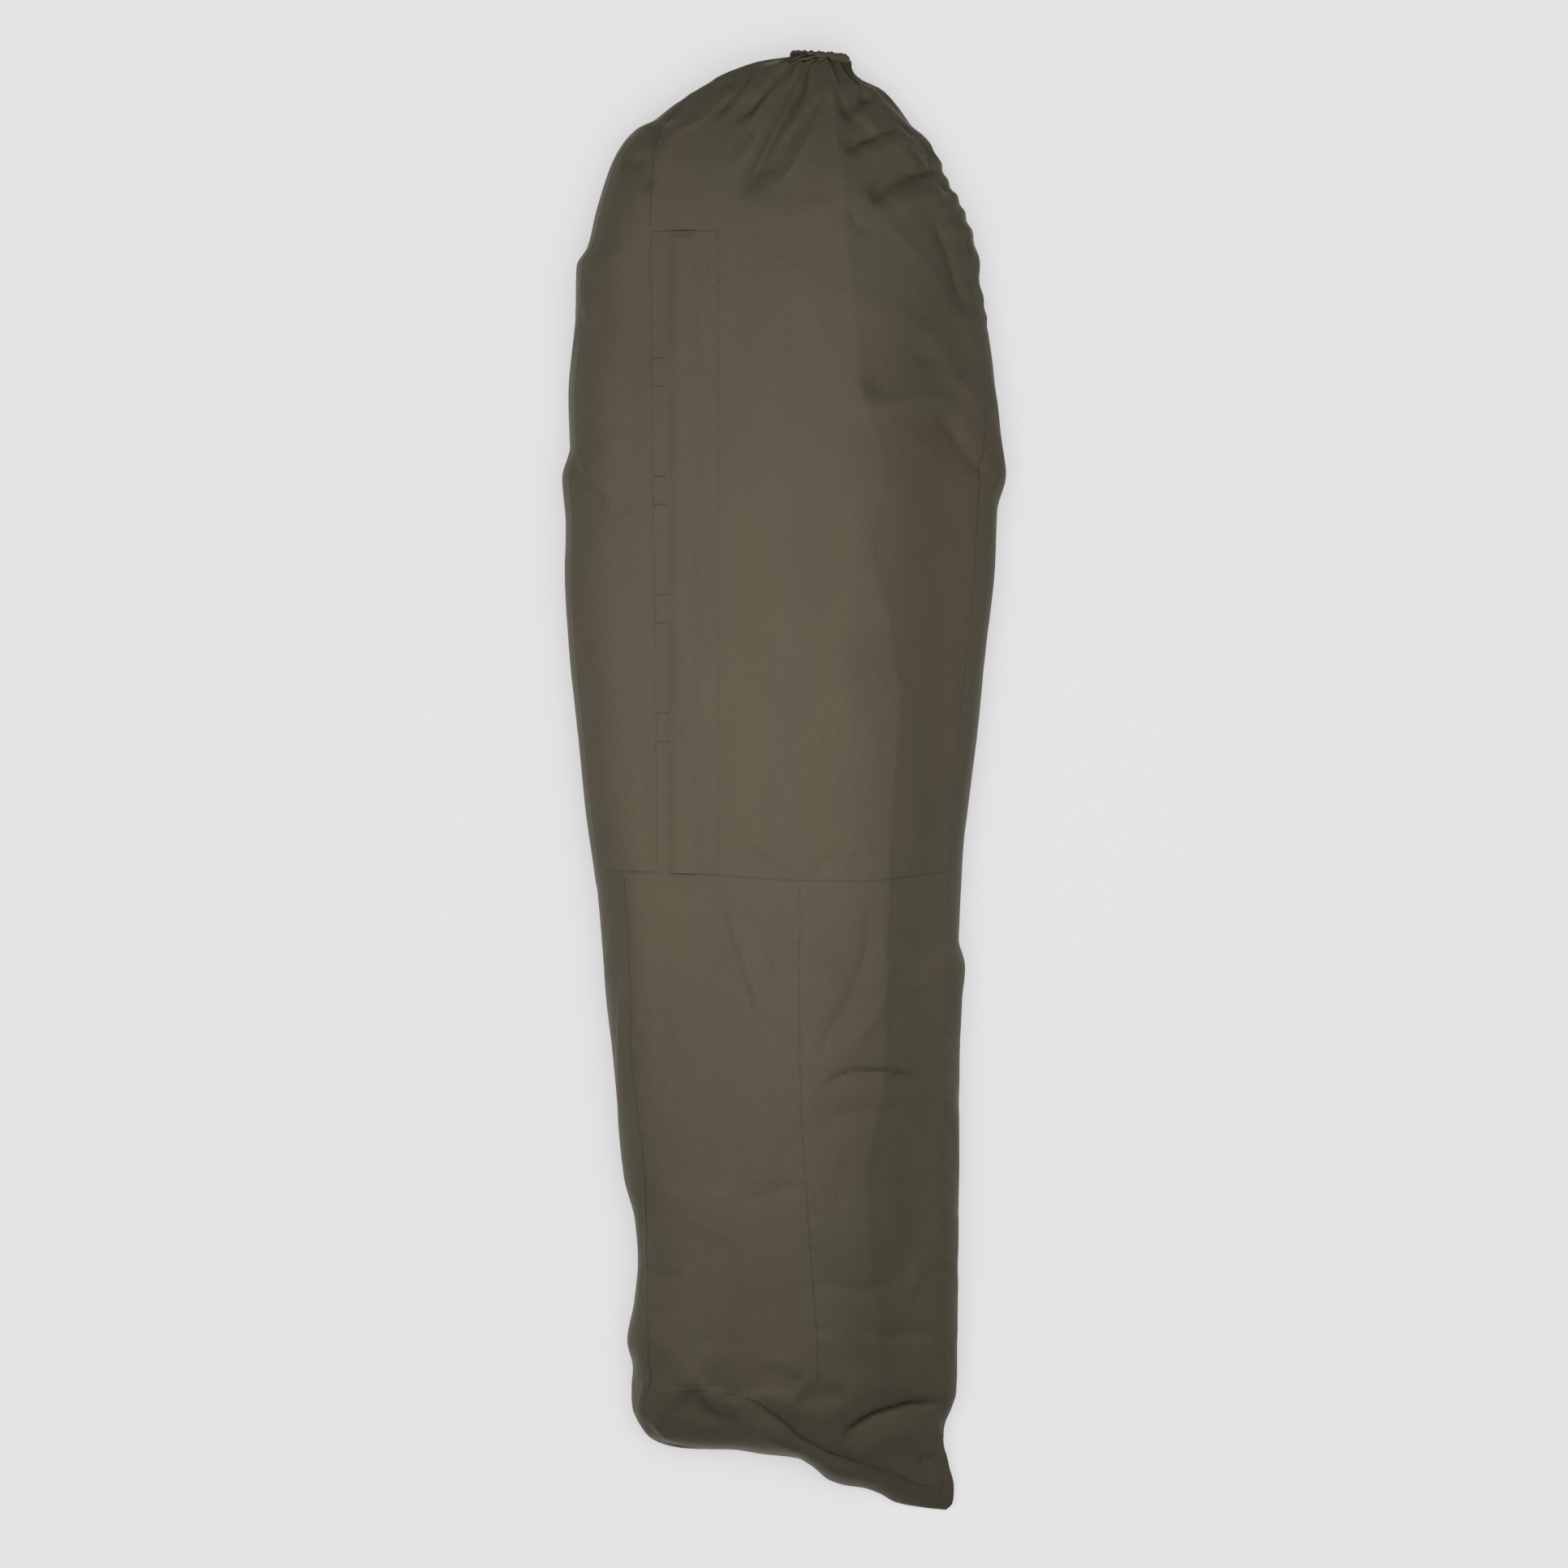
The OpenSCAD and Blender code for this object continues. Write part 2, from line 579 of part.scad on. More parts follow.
hood_seam_tape();
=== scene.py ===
"""A hooded bivy sack of three-layer cloth, lying filled: its cloth, seams, storm flap, zip and hood mouth.

The sack's shape is one smooth loft from the foot to the hood mouth, a grid of points in the CAD frame.
Named folds are laid on it, a cloth simulation lets it slacken, and the grid is then cut into its panels.
Lengths are in millimetres up to mm(), which gives Blender its metres.
"""
import math

import bpy
import numpy as np
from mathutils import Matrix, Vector


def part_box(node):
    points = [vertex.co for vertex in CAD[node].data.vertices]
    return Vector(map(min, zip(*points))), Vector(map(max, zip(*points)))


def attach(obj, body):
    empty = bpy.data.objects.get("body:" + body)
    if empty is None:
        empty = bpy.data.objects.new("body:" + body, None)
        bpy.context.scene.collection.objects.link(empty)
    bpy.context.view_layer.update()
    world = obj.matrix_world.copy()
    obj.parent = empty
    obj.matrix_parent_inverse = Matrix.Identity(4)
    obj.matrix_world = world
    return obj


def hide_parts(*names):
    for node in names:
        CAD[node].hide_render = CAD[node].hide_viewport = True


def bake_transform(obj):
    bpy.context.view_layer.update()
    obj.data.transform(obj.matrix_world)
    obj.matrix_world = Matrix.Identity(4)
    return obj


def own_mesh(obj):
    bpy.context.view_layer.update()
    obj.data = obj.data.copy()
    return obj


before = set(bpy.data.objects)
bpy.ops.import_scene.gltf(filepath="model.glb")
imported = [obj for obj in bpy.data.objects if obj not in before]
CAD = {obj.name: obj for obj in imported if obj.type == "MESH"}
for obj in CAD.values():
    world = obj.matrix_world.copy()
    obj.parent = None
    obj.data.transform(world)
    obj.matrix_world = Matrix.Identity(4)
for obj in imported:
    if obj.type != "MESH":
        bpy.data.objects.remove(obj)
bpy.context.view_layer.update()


def mm(value):
    return np.asarray(value, dtype=float) * 0.001


def smooth(f):
    c = np.clip(f, 0.0, 1.0)
    return c * c * (3 - 2 * c)


def lerp(a, b, f):
    return a + (b - a) * f


def through(points):
    """A smooth function through (place, value) points that never overshoots them."""
    xs = np.array([p[0] for p in points], dtype=float)
    ys = np.array([p[1] for p in points], dtype=float)
    step = np.diff(xs)
    rise = np.diff(ys) / step
    inner = np.where(rise[:-1] * rise[1:] > 0, 2 * rise[:-1] * rise[1:] / (rise[:-1] + rise[1:] + 1e-12), 0.0)
    tangent = np.concatenate(([rise[0]], inner, [rise[-1]]))

    def value(x):
        x = np.clip(np.asarray(x, dtype=float), xs[0], xs[-1])
        i = np.clip(np.searchsorted(xs, x, side="right") - 1, 0, len(step) - 1)
        f = (x - xs[i]) / step[i]
        return (ys[i] * (1 + 2 * f) * (1 - f) ** 2 + tangent[i] * step[i] * f * (1 - f) ** 2
                + ys[i + 1] * f * f * (3 - 2 * f) + tangent[i + 1] * step[i] * f * f * (f - 1))

    return value


# ---------------------------------------------------------------- landmarks, in millimetres
FOOT_Y = -1052
NOSE_Y = -1046
CROSS_Y = -140
FLAP_TOP_Y = 859
HOOD_TURN_Y = 1030
MOUTH_Y = 1138
CHEST_Z = 230
ZIP_X = -150
ZIP_SLOT = 14
SLOT_ENDS = (-130, 853)
HINGE_X = -122
RIDGE_X = 20
CROWN_FALL = 0.0004
# How far up a section, as a share of its height, the sack is widest
WIDEST = 0.38

left_edge = through([
    (-1052, -150), (-1050, -166), (-1046, -187), (-1036, -208), (-1022, -221), (-1004, -231), (-985, -237),
    (-920, -238), (-876, -246), (-815, -235), (-750, -229), (-685, -234), (-620, -251), (-430, -271),
    (-300, -284), (-172, -295), (-44, -313), (85, -326), (213, -339), (330, -345), (405, -343), (482, -349),
    (533, -337), (600, -339), (725, -330), (815, -327), (845, -310), (900, -296), (975, -271), (1013, -249),
    (1029, -231), (1040, -205), (1055, -188), (1071, -170), (1103, -120), (1120, -78), (1130, -42), (1138, 10)])
right_edge = through([
    (-1052, 258), (-1044, 268), (-1028, 270), (-1008, 262), (-988, 256), (-972, 254), (-954, 264),
    (-935, 271), (-620, 275), (-430, 276), (-340, 280), (-288, 285), (-240, 276), (-108, 282), (-44, 289),
    (45, 300), (85, 305), (213, 318), (341, 332), (430, 336), (488, 349), (533, 343), (661, 328), (789, 309),
    (860, 298), (915, 277), (955, 253), (1000, 235), (1022, 219), (1040, 198), (1071, 177), (1090, 157),
    (1104, 124), (1118, 106), (1130, 102), (1138, 102)])
under_z = through([(FOOT_Y, 0), (HOOD_TURN_Y, 0), (1085, 14), (1120, 34), (MOUTH_Y, 45)])
top_z = through([
    (-1052, 3), (-1051.4, 22), (-1049.6, 44), (-1046, 66), (-1039, 98), (-1026, 130), (-1000, 163), (-960, 187),
    (-900, 201), (-800, 209), (-620, 217), (-430, 224), (CROSS_Y, CHEST_Z), (860, CHEST_Z), (955, 219),
    (HOOD_TURN_Y, 198), (1085, 170), (1120, 145), (MOUTH_Y, 133)])
slant_share = through([(-1052, 1), (-1038, 0.92), (-1000, 0.63), (-940, 0.25), (-860, 0), (1138, 0)])
slant_depth = through([
    (-300, 0), (-90, 0), (-30, 8), (20, 14), (45, 28), (70, 49), (95, 58), (125, 63), (150, 72), (175, 86),
    (200, 92), (250, 98), (300, 99)])
ear_flatness = through([
    (-1052, 0.72), (-1038, 0.62), (-1000, 0.4), (-960, 0.2), (-900, 0.06), (-860, 0), (1138, 0)])

# Where the top stops being nearly level and the right slope starts
crest_x = through([
    (-1052, 150), (-940, 150), (-860, 148), (-740, 135), (-620, 130), (-430, 158), (-280, 158), (-140, 172),
    (-44, 188), (125, 190), (199, 168), (257, 164), (314, 146), (372, 136), (417, 140), (470, 156), (520, 150),
    (600, 124), (700, 114), (860, 98), (955, 92), (1030, 82), (1085, 72), (1120, 66), (1138, 64)])

ROW_STEP = 5
COLUMNS_TOP = 216
COLUMNS_UNDER = 84
SIM_STRIDE = 3
NOSE_ROWS = 6
SECTION_SAMPLES = 700


def crown(x, high=CHEST_Z):
    """Height of the gently rounded top at x, where it is high at the ridge."""
    return high - CROWN_FALL * (x - RIDGE_X) ** 2


def distance_along(a, b):
    """Distance from the start of the line through the points (a, b) to each of them."""
    return np.concatenate(([0], np.cumsum(np.hypot(np.diff(a), np.diff(b)))))


def cad_corners(node):
    """The low and high corners of a CAD node, in millimetres."""
    return [np.array(corner) * 1000 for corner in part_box(node)]


def curve(points, f):
    """Point at f along the cubic Bezier with these four control points."""
    p = [np.array(q, dtype=float) for q in points]
    f = f[:, None]
    return (1 - f) ** 3 * p[0] + 3 * (1 - f) ** 2 * f * p[1] + 3 * (1 - f) * f * f * p[2] + f ** 3 * p[3]


def section(y, t):
    """Points of the section at y: t is 0 to 5 from the ground on the left to the right, 5 to 6 underneath."""
    l, r = float(left_edge(y)), float(right_edge(y))
    width = r - l
    low, high = float(under_z(y)), float(top_z(y))
    reach_l, tuck = min(95, 0.36 * width), min(45, 0.3 * width)
    crest = min(float(crest_x(y)), r - 0.2 * width)
    widest = lerp(low, high, WIDEST)
    steep = high - widest
    quarter = math.pi / 2
    crest_z = crown(crest, high)
    shoulder = curve([(crest, crest_z), (crest + 0.2 * (r - crest), crest_z - 0.14 * steep),
                      (r - 4, widest + 0.56 * steep), (r, widest)], np.clip(t - 3, 0, 1))
    x_mid = lerp(l + reach_l, crest, t - 2)
    conditions = [t <= 1, t <= 2, t <= 3, t <= 4, t <= 5]
    x = np.select(
        conditions,
        [l + tuck * (1 - np.sin(quarter * t)), l + reach_l * (1 - np.cos(quarter * (t - 1))), x_mid,
         shoulder[:, 0], r - tuck * (1 - np.sin(quarter * (5 - t)))],
        lerp(r - tuck, l + tuck, t - 5))
    z = np.select(
        conditions,
        [widest - (widest - low) * np.cos(quarter * t),
         widest + (crown(l + reach_l, high) - widest) * np.sin(quarter * (t - 1)), crown(x_mid, high),
         shoulder[:, 1],
         widest - (widest - low) * np.cos(quarter * (5 - t))],
        low)
    return x, z


def lay_out(y, x, z):
    """Slants the foot end away and flattens its right ear."""
    across = (x - left_edge(y)) / (right_edge(y) - left_edge(y))
    ear = 1 - ear_flatness(y) * smooth((across - 0.45) / 0.5)
    return np.stack([x, y - slant_share(y) * slant_depth(x), z * ear], axis=-1)


def smooth_sack():
    """The grid of points of the unwrinkled sack: rows from foot to mouth, columns once round it."""
    nose = FOOT_Y + (NOSE_Y - FOOT_Y) * (1 - np.cos(np.linspace(0, math.pi / 2, NOSE_ROWS, endpoint=False)))
    count = int(round((MOUTH_Y - NOSE_Y) / ROW_STEP / SIM_STRIDE)) * SIM_STRIDE
    rows = np.concatenate((nose, np.linspace(NOSE_Y, MOUTH_Y, count + 1)))
    fine = np.linspace(0, 5, SECTION_SAMPLES)
    grid = []
    for y in rows:
        x, z = section(y, fine)
        run = distance_along(x, z)
        t = np.interp(np.linspace(0, run[-1], COLUMNS_TOP + 1), run, fine)
        t = np.concatenate((t, np.linspace(5, 6, COLUMNS_UNDER + 1)[1:-1]))
        x, z = section(y, t)
        grid.append(lay_out(np.full_like(x, y), x, z))
    return rows, np.array(grid)


def normals_of(grid):
    """Outward unit normals of a grid that closes on itself round the sack."""
    along = np.gradient(grid, axis=0)
    around = np.roll(grid, -1, axis=1) - np.roll(grid, 1, axis=1)
    n = np.cross(along, around)
    n /= np.linalg.norm(n, axis=-1, keepdims=True) + 1e-12
    middle = grid.mean(axis=1, keepdims=True)
    flip = np.sign(np.sum(n * (grid - middle), axis=-1).mean())
    return n * flip


# ---------------------------------------------------------------- folds laid one by one
# Each fold: its line in (x, y), its height (a valley is negative), its width, and its lean: how much wider it
# is on the right of the line than on the left, seen along the line.
FOLDS = [
    # hood: the gathers that fan out from the mouth
    ([(36, 1130), (16, 1085), (-2, 1045), (-26, 995), (-48, 947), (-66, 912)], -21, 22, -0.45),
    ([(78, 1122), (62, 1070), (40, 1010), (12, 960), (-24, 912)], 5, 9, 0.0),
    ([(24, 1136), (-8, 1090), (-32, 1058), (-60, 1020)], 4, 7, 0.0),
    ([(8, 1130), (-22, 1090), (-52, 1056), (-84, 1030)], -7, 9, 0.0),
    ([(-22, 1130), (-56, 1084), (-100, 1034)], 4, 6, 0.0),
    ([(-36, 1124), (-74, 1078), (-112, 1040)], -6, 9, 0.0),
    ([(152, 1092), (118, 1070), (84, 1046)], -16, 18, 0.0),
    ([(98, 1112), (112, 1096), (140, 1100)], 3, 9, 0.0),
    ([(-188, 1064), (-195, 1036), (-199, 990)], -8, 11, 0.0),
    ([(-232, 988), (-222, 955), (-210, 922)], -7, 12, 0.0),
    # hood, right side
    ([(190, 1032), (150, 1019), (118, 1003), (98, 980)], -14, 14, 0.3),
    ([(206, 1006), (160, 1000), (124, 975)], 4, 14, 0.0),
    ([(240, 965), (195, 956), (160, 936), (134, 904)], -16, 18, 0.0),
    ([(262, 925), (215, 918), (172, 895)], 4, 15, 0.0),
    ([(232, 886), (256, 838), (271, 788), (288, 742)], -8, 11, 0.0),
    ([(270, 912), (288, 872), (296, 842), (288, 816), (300, 786)], 4, 6, 0.0),
    ([(200, 1020), (212, 994), (228, 984)], 4, 6, 0.0),
    ([(98, 900), (112, 872), (136, 858)], -4, 9, 0.0),
    # chest, right side
    ([(112, 577), (165, 588), (222, 601), (275, 592)], 8, 18, 0.0),
    ([(124, 600), (160, 636), (202, 670), (256, 668)], -12, 28, 0.0),
    ([(252, 640), (282, 622), (308, 590)], 5, 15, 0.0),
    ([(232, 590), (262, 556), (300, 500), (338, 470)], -8, 22, 0.0),
    ([(180, 560), (210, 535), (240, 500)], 3, 20, 0.0),
    # chest, left side
    ([(-322, 800), (-312, 755), (-296, 705)], 5, 12, 0.0),
    ([(-302, 800), (-290, 750), (-280, 700)], -4, 14, 0.0),
    ([(-290, 566), (-250, 555), (-210, 562)], -3, 9, 0.0),
    ([(-342, 520), (-318, 470), (-272, 420)], -7, 12, 0.0),
    ([(-330, 530), (-300, 476), (-262, 450)], 4, 11, 0.0),
    ([(-276, 424), (-240, 430), (-212, 444)], -4, 8, 0.0),
    # round the cross seam
    ([(-60, -96), (-24, -122), (20, -149)], -5, 7, 0.0),
    ([(48, -145), (60, -124), (86, -111), (112, -113), (132, -132)], -4, 7, 0.0),
    ([(-100, -165), (-62, -270), (-22, -400)], 3.5, 15, 0.0),
    ([(-108, -165), (-86, -235), (-64, -300), (-46, -374)], -3.5, 7, 0.0),
    ([(-76, -178), (-33, -232), (-9, -292), (0, -347)], -3.5, 7, 0.0),
    ([(136, -172), (131, -258), (102, -337), (64, -402), (46, -442)], -6, 13, 0.0),
    ([(168, -262), (152, -348), (114, -402), (74, -436)], 4, 14, 0.0),
    ([(60, -474), (80, -456), (112, -446), (160, -448), (220, -463)], -8, 9, 0.4),
    ([(50, -520), (110, -512), (200, -502)], -2.5, 16, 0.0),
    ([(-232, -345), (-214, -362), (-176, -366)], -2, 9, 0.0),
    # lower front
    ([(-70, -655), (-30, -640), (20, -622)], -2.5, 12, 0.0),
    ([(100, -566), (84, -640), (74, -700)], -3, 12, 0.0),
    ([(30, -790), (70, -776), (120, -790), (176, -772)], -3, 12, 0.0),
    ([(110, -850), (160, -862), (250, -858)], -3, 10, 0.0),
    ([(-150, -880), (-100, -862), (-60, -880)], -2, 14, 0.0),
    ([(48, -560), (50, -660), (52, -760)], 2.5, 14, 0.0),
    # foot
    ([(-170, -955), (-125, -990), (-60, -1008)], -12, 34, 0.0),
    ([(-52, -966), (-8, -998), (28, -1030), (70, -1056), (112, -1070), (160, -1090), (196, -1112)],
     -8, 8, 0.0),
    ([(-62, -1000), (-10, -1030), (40, -1062)], 4, 12, 0.0),
    ([(-40, -940), (30, -980), (90, -1008)], 5, 18, 0.0),
    ([(92, -1036), (108, -1014), (146, -991), (200, -977), (262, -975)], -16, 11, 0.3),
    ([(110, -1056), (160, -1026), (220, -1014)], 6, 15, 0.0),
    ([(262, -1012), (244, -1036), (226, -1060)], 3, 6, 0.0),
    ([(214, -1076), (224, -1064), (236, -1076)], -5, 5, 0.0),
    ([(-216, -930), (-226, -968), (-228, -1002)], 5, 8, 0.0),
    ([(-208, -1004), (-188, -1026), (-164, -1042)], 5, 6, 0.0),
    ([(-236, -880), (-222, -900), (-200, -905)], 3, 12, 0.0),
    ([(-226, -750), (-190, -770), (-150, -764)], -2.5, 12, 0.0),
]


def crease(distance):
    """Cross-section of a fold in stiff cloth: sharp at its line, with long flanks."""
    return np.exp(0.35 - np.sqrt(distance ** 2 * 1.6 + 0.35 ** 2))


def fold_height(x, y):
    """Sum of the listed folds over the point (x, y)."""
    total = np.zeros_like(x)
    for line, height, width, lean in FOLDS:
        points = np.array(line, dtype=float)
        lengths = np.hypot(*np.diff(points, axis=0).T)
        whole = lengths.sum()
        near = np.full_like(x, 1e9)
        run = np.zeros_like(x)
        side = np.zeros_like(x)
        start = 0.0
        for a, b, length in zip(points[:-1], points[1:], lengths):
            d = (b - a) / length
            s = np.clip((x - a[0]) * d[0] + (y - a[1]) * d[1], 0, length)
            dx, dy = x - a[0] - s * d[0], y - a[1] - s * d[1]
            dist = np.hypot(dx, dy)
            closer = dist < near
            near = np.where(closer, dist, near)
            run = np.where(closer, start + s, run)
            side = np.where(closer, np.sign(dx * d[1] - dy * d[0]), side)
            start += length
        fade = smooth(run / (0.3 * whole) + 0.15) * smooth((whole - run) / (0.3 * whole) + 0.15)
        spread = width * (1 + lean * side)
        total += height * fade * crease(near / spread)
    return total


# ---------------------------------------------------------------- seam lines, seen from above
left_seam = through([
    (-1052, -205), (-960, -214), (-927, -212), (-863, -214), (-760, -217), (-671, -217), (-581, -221),
    (-428, -238), (-300, -240), (-146, -250)])
right_seam = through([
    (-1052, 254), (-978, 257), (-876, 254), (-620, 254), (-428, 257), (-236, 263), (-140, 265), (8, 272),
    (149, 281), (251, 294), (341, 300), (469, 308), (560, 318), (661, 313), (860, 285), (955, 240), (1022, 204),
    (1090, 142), (1138, 98)])
centre_seam = through([(-1052, 56), (-902, 53), (-761, 44), (-581, 31), (-402, 24), (-152, 25)])
cross_seam = through([
    (-320, -139), (-290, -136), (-122, -141), (25, -150), (121, -151), (265, -137), (300, -136)])
foot_seam = through([
    (-300, -940), (-215, -955), (-120, -950), (-45, -966), (10, -1008), (63, -1046), (157, -1080), (220, -1108),
    (300, -1120)])
hood_seam = through([
    (853, -208), (981, -205), (1019, -197), (1058, -167), (1090, -130), (1125, -40), (1138, 20)])
FLAP_MIDDLE = -154

rows, base = smooth_sack()
normals = normals_of(base)
X, Y, Z = base[..., 0], base[..., 1], base[..., 2]
UP = np.clip(normals[..., 2], 0, 1)
ON_GROUND = np.zeros_like(Z)
ON_GROUND[:, COLUMNS_TOP:] = 1


def zip_hold(x, y):
    """1 where the cloth stays on the CAD surface, round the zip and its flap, falling to 0 away from it."""
    across = smooth((np.abs(x - FLAP_MIDDLE) - 62) / 45)
    beyond = smooth((y - FLAP_TOP_Y - 10) / 60) + smooth((CROSS_Y - 10 - y) / 60)
    return (1 - across) * (1 - np.clip(beyond, 0, 1))


def loose_cloth(x, y):
    """How freely the cloth slackens: fully at the hood and foot, less in the middle and by the flap."""
    ends = smooth((y - 930) / 90) + smooth((-880 - y) / 90)
    beside_flap = np.maximum(np.abs(x - FLAP_MIDDLE) - 60, 0)
    away = smooth((np.hypot(beside_flap, np.maximum(y - FLAP_TOP_Y, 0)) - 40) / 120)
    return np.clip(ends + 0.4, 0, 1) * np.where(y > CROSS_Y - 20, away, 1)


HOLD = zip_hold(X, Y) * (UP > 0.2)
folds = fold_height(X, Y) * smooth((UP - 0.15) / 0.5) * (1 - HOLD)

# Gathers round the mouth: pleats that run out of the drawn-up hem
MOUTH_X = 56
MOUTH_Z = 89
turn = np.arctan2(Z - MOUTH_Z, X - MOUTH_X)
gather = smooth((rows[:, None] - 1020) / 110) ** 1.5
pleats = 4.5 * gather * (np.cos(15 * turn + 1.3 * np.sin(3 * turn)) * 0.7 + np.cos(23 * turn + 2) * 0.3)

# Shirred edge along the right of the hood
edge_side = smooth((X - right_edge(rows)[:, None] + 62) / 50) * (Z > 40)
shirr_on = smooth((Y - 640) / 120) * smooth((1060 - Y) / 60)
uneven = 0.5 + 0.5 * np.sin(Y / 43 + 1.7 * np.sin(Y / 91))
gathering = np.sin(Y / 5.6 + 3 * np.sin(Y / 37)) + 0.8 * np.sin(Y / 12.1 + X / 9)
shirring = 1.9 * edge_side * shirr_on * uneven * gathering


def beside(distance, width):
    return np.exp(-(distance / width) ** 2)


# The seams draw the cloth in a little and pucker it
pucker_lines = (
    beside(X - left_seam(Y), 9) * (Y < CROSS_Y) + beside(X - right_seam(Y), 9)
    + beside(X - centre_seam(Y), 8) * (Y < CROSS_Y - 8) * (Y > -940) + beside(Y - cross_seam(X), 8)
    + beside(X - hood_seam(Y), 8) * (Y > FLAP_TOP_Y) * (Y < 1100))
ripple = (np.sin(X / 5.3 + Y / 4.1 + 2 * np.sin(Y / 37))
          + 0.7 * np.sin(Y / 9.7 + X / 13 + 1.5 * np.sin(X / 29)))
pucker = pucker_lines * (-1.1 + 0.45 * ripple) * (UP > 0.1) * (1 - HOLD)

height = folds + pleats + shirring + pucker
height[:, COLUMNS_TOP:] *= 0
shaped = base + normals * height[..., None]


# ---------------------------------------------------------------- cloth simulation
def grid_faces(n_rows, n_columns):
    i, j = np.meshgrid(np.arange(n_rows - 1), np.arange(n_columns), indexing="ij")
    k = (j + 1) % n_columns
    here, ahead = i * n_columns, (i + 1) * n_columns
    return np.stack([here + j, here + k, ahead + k, ahead + j], axis=-1).reshape(-1, 4)


def new_mesh(name, points, faces, smooth_shaded=True):
    """An object in the frame from points in millimetres and faces."""
    mesh = bpy.data.meshes.new(name)
    mesh.from_pydata(mm(points).tolist(), [], [list(f) for f in faces])
    mesh.update()
    if smooth_shaded:
        mesh.shade_smooth()
    obj = bpy.data.objects.new(name, mesh)
    bpy.context.scene.collection.objects.link(obj)
    return obj


def spread_out(coarse, n_rows, n_columns, stride):
    """Smoothly spreads values on every stride-th point of the grid over all of it."""

    def cubic(a, position, wrap):
        i = np.floor(position).astype(int)
        f = (position - i)[:, None, None]

        def take(k):
            return a[(i + k) % len(a)] if wrap else a[np.clip(i + k, 0, len(a) - 1)]

        p0, p1, p2, p3 = take(-1), take(0), take(1), take(2)
        bend = 2 * p0 - 5 * p1 + 4 * p2 - p3
        return p1 + 0.5 * f * (p2 - p0 + f * (bend + f * (3 * (p1 - p2) + p3 - p0)))

    rows_out = cubic(coarse, np.arange(n_rows) / stride, False)
    return cubic(rows_out.swapaxes(0, 1), np.arange(n_columns) / stride, True).swapaxes(0, 1)


SIM_FRAMES = 36
SLACK = -0.004
# Movement broader than this many millimetres is taken out again, and no point moves further than MOST
BROAD = 75
MOST = 3.5
HELD_BY_FILL = 0.12


def blurred(values, spread):
    """Gaussian blur over the grid, closed round the sack."""
    reach = int(3 * spread)
    kernel = np.exp(-0.5 * (np.arange(-reach, reach + 1) / spread) ** 2)
    kernel /= kernel.sum()
    ends = np.pad(values, ((reach, reach), (0, 0), (0, 0)), mode="edge")
    along = sum(k * ends[i:i + len(values)] for i, k in enumerate(kernel))
    return sum(k * np.roll(along, i - reach, axis=1) for i, k in enumerate(kernel))


def slacken(points):
    """How far each point moves when the cloth is a little longer than the shape it covers."""
    coarse = points[::SIM_STRIDE, ::SIM_STRIDE]
    n_rows, n_columns = coarse.shape[:2]
    obj = new_mesh("slack_cloth", coarse.reshape(-1, 3), grid_faces(n_rows, n_columns))
    hold = HOLD[::SIM_STRIDE, ::SIM_STRIDE]
    ground = ON_GROUND[::SIM_STRIDE, ::SIM_STRIDE]
    weight = np.clip(HELD_BY_FILL + hold + ground, 0, 1)
    weight[:2] = 1
    weight[-3:] = 1
    group = obj.vertex_groups.new(name="held")
    for index, value in enumerate(weight.reshape(-1)):
        group.add([index], float(value), "REPLACE")
    cloth = obj.modifiers.new("cloth", "CLOTH")
    s = cloth.settings
    s.quality = 6
    s.mass = 0.25
    s.tension_stiffness = 40
    s.compression_stiffness = 40
    s.shear_stiffness = 8
    s.bending_stiffness = 1.2
    s.tension_damping = 10
    s.compression_damping = 10
    s.shear_damping = 5
    s.bending_damping = 1
    s.vertex_group_mass = "held"
    s.pin_stiffness = 0.6
    s.shrink_min = SLACK
    s.use_pressure = True
    s.uniform_pressure_force = 1.0
    s.effector_weights.gravity = 0.3
    cloth.collision_settings.use_collision = False
    cloth.collision_settings.use_self_collision = False
    cloth.point_cache.frame_start = 1
    cloth.point_cache.frame_end = SIM_FRAMES
    scene = bpy.context.scene
    for number in range(1, SIM_FRAMES + 1):
        scene.frame_set(number)
    posed = obj.evaluated_get(bpy.context.evaluated_depsgraph_get())
    out = np.empty(len(posed.data.vertices) * 3)
    posed.data.vertices.foreach_get("co", out)
    moved = out.reshape(coarse.shape) * 1000 - coarse
    scene.frame_set(1)
    bpy.data.objects.remove(obj, do_unlink=True)
    moved -= blurred(moved, BROAD / (ROW_STEP * SIM_STRIDE))
    far = np.linalg.norm(moved, axis=-1, keepdims=True)
    moved *= np.minimum(1, MOST / (far + 1e-9))
    return spread_out(moved, points.shape[0], points.shape[1], SIM_STRIDE)


slack = slacken(shaped)
slack *= (loose_cloth(X, Y) * (1 - HOLD))[..., None]
slack[:, COLUMNS_TOP:] *= 0
final = shaped + slack
final[..., 2] = np.maximum(final[..., 2], 0.2)
final_normals = normals_of(final)


# ---------------------------------------------------------------- materials
def srgb(r, g, b):
    """A colour given as a screen shows it, 0 to 255, as Blender's linear values."""
    return tuple(((c / 255 + 0.055) / 1.055) ** 2.4 for c in (r, g, b)) + (1.0,)


def grey(level):
    return (level, level, level, 1)


BLACK = grey(0)
WHITE = grey(1)


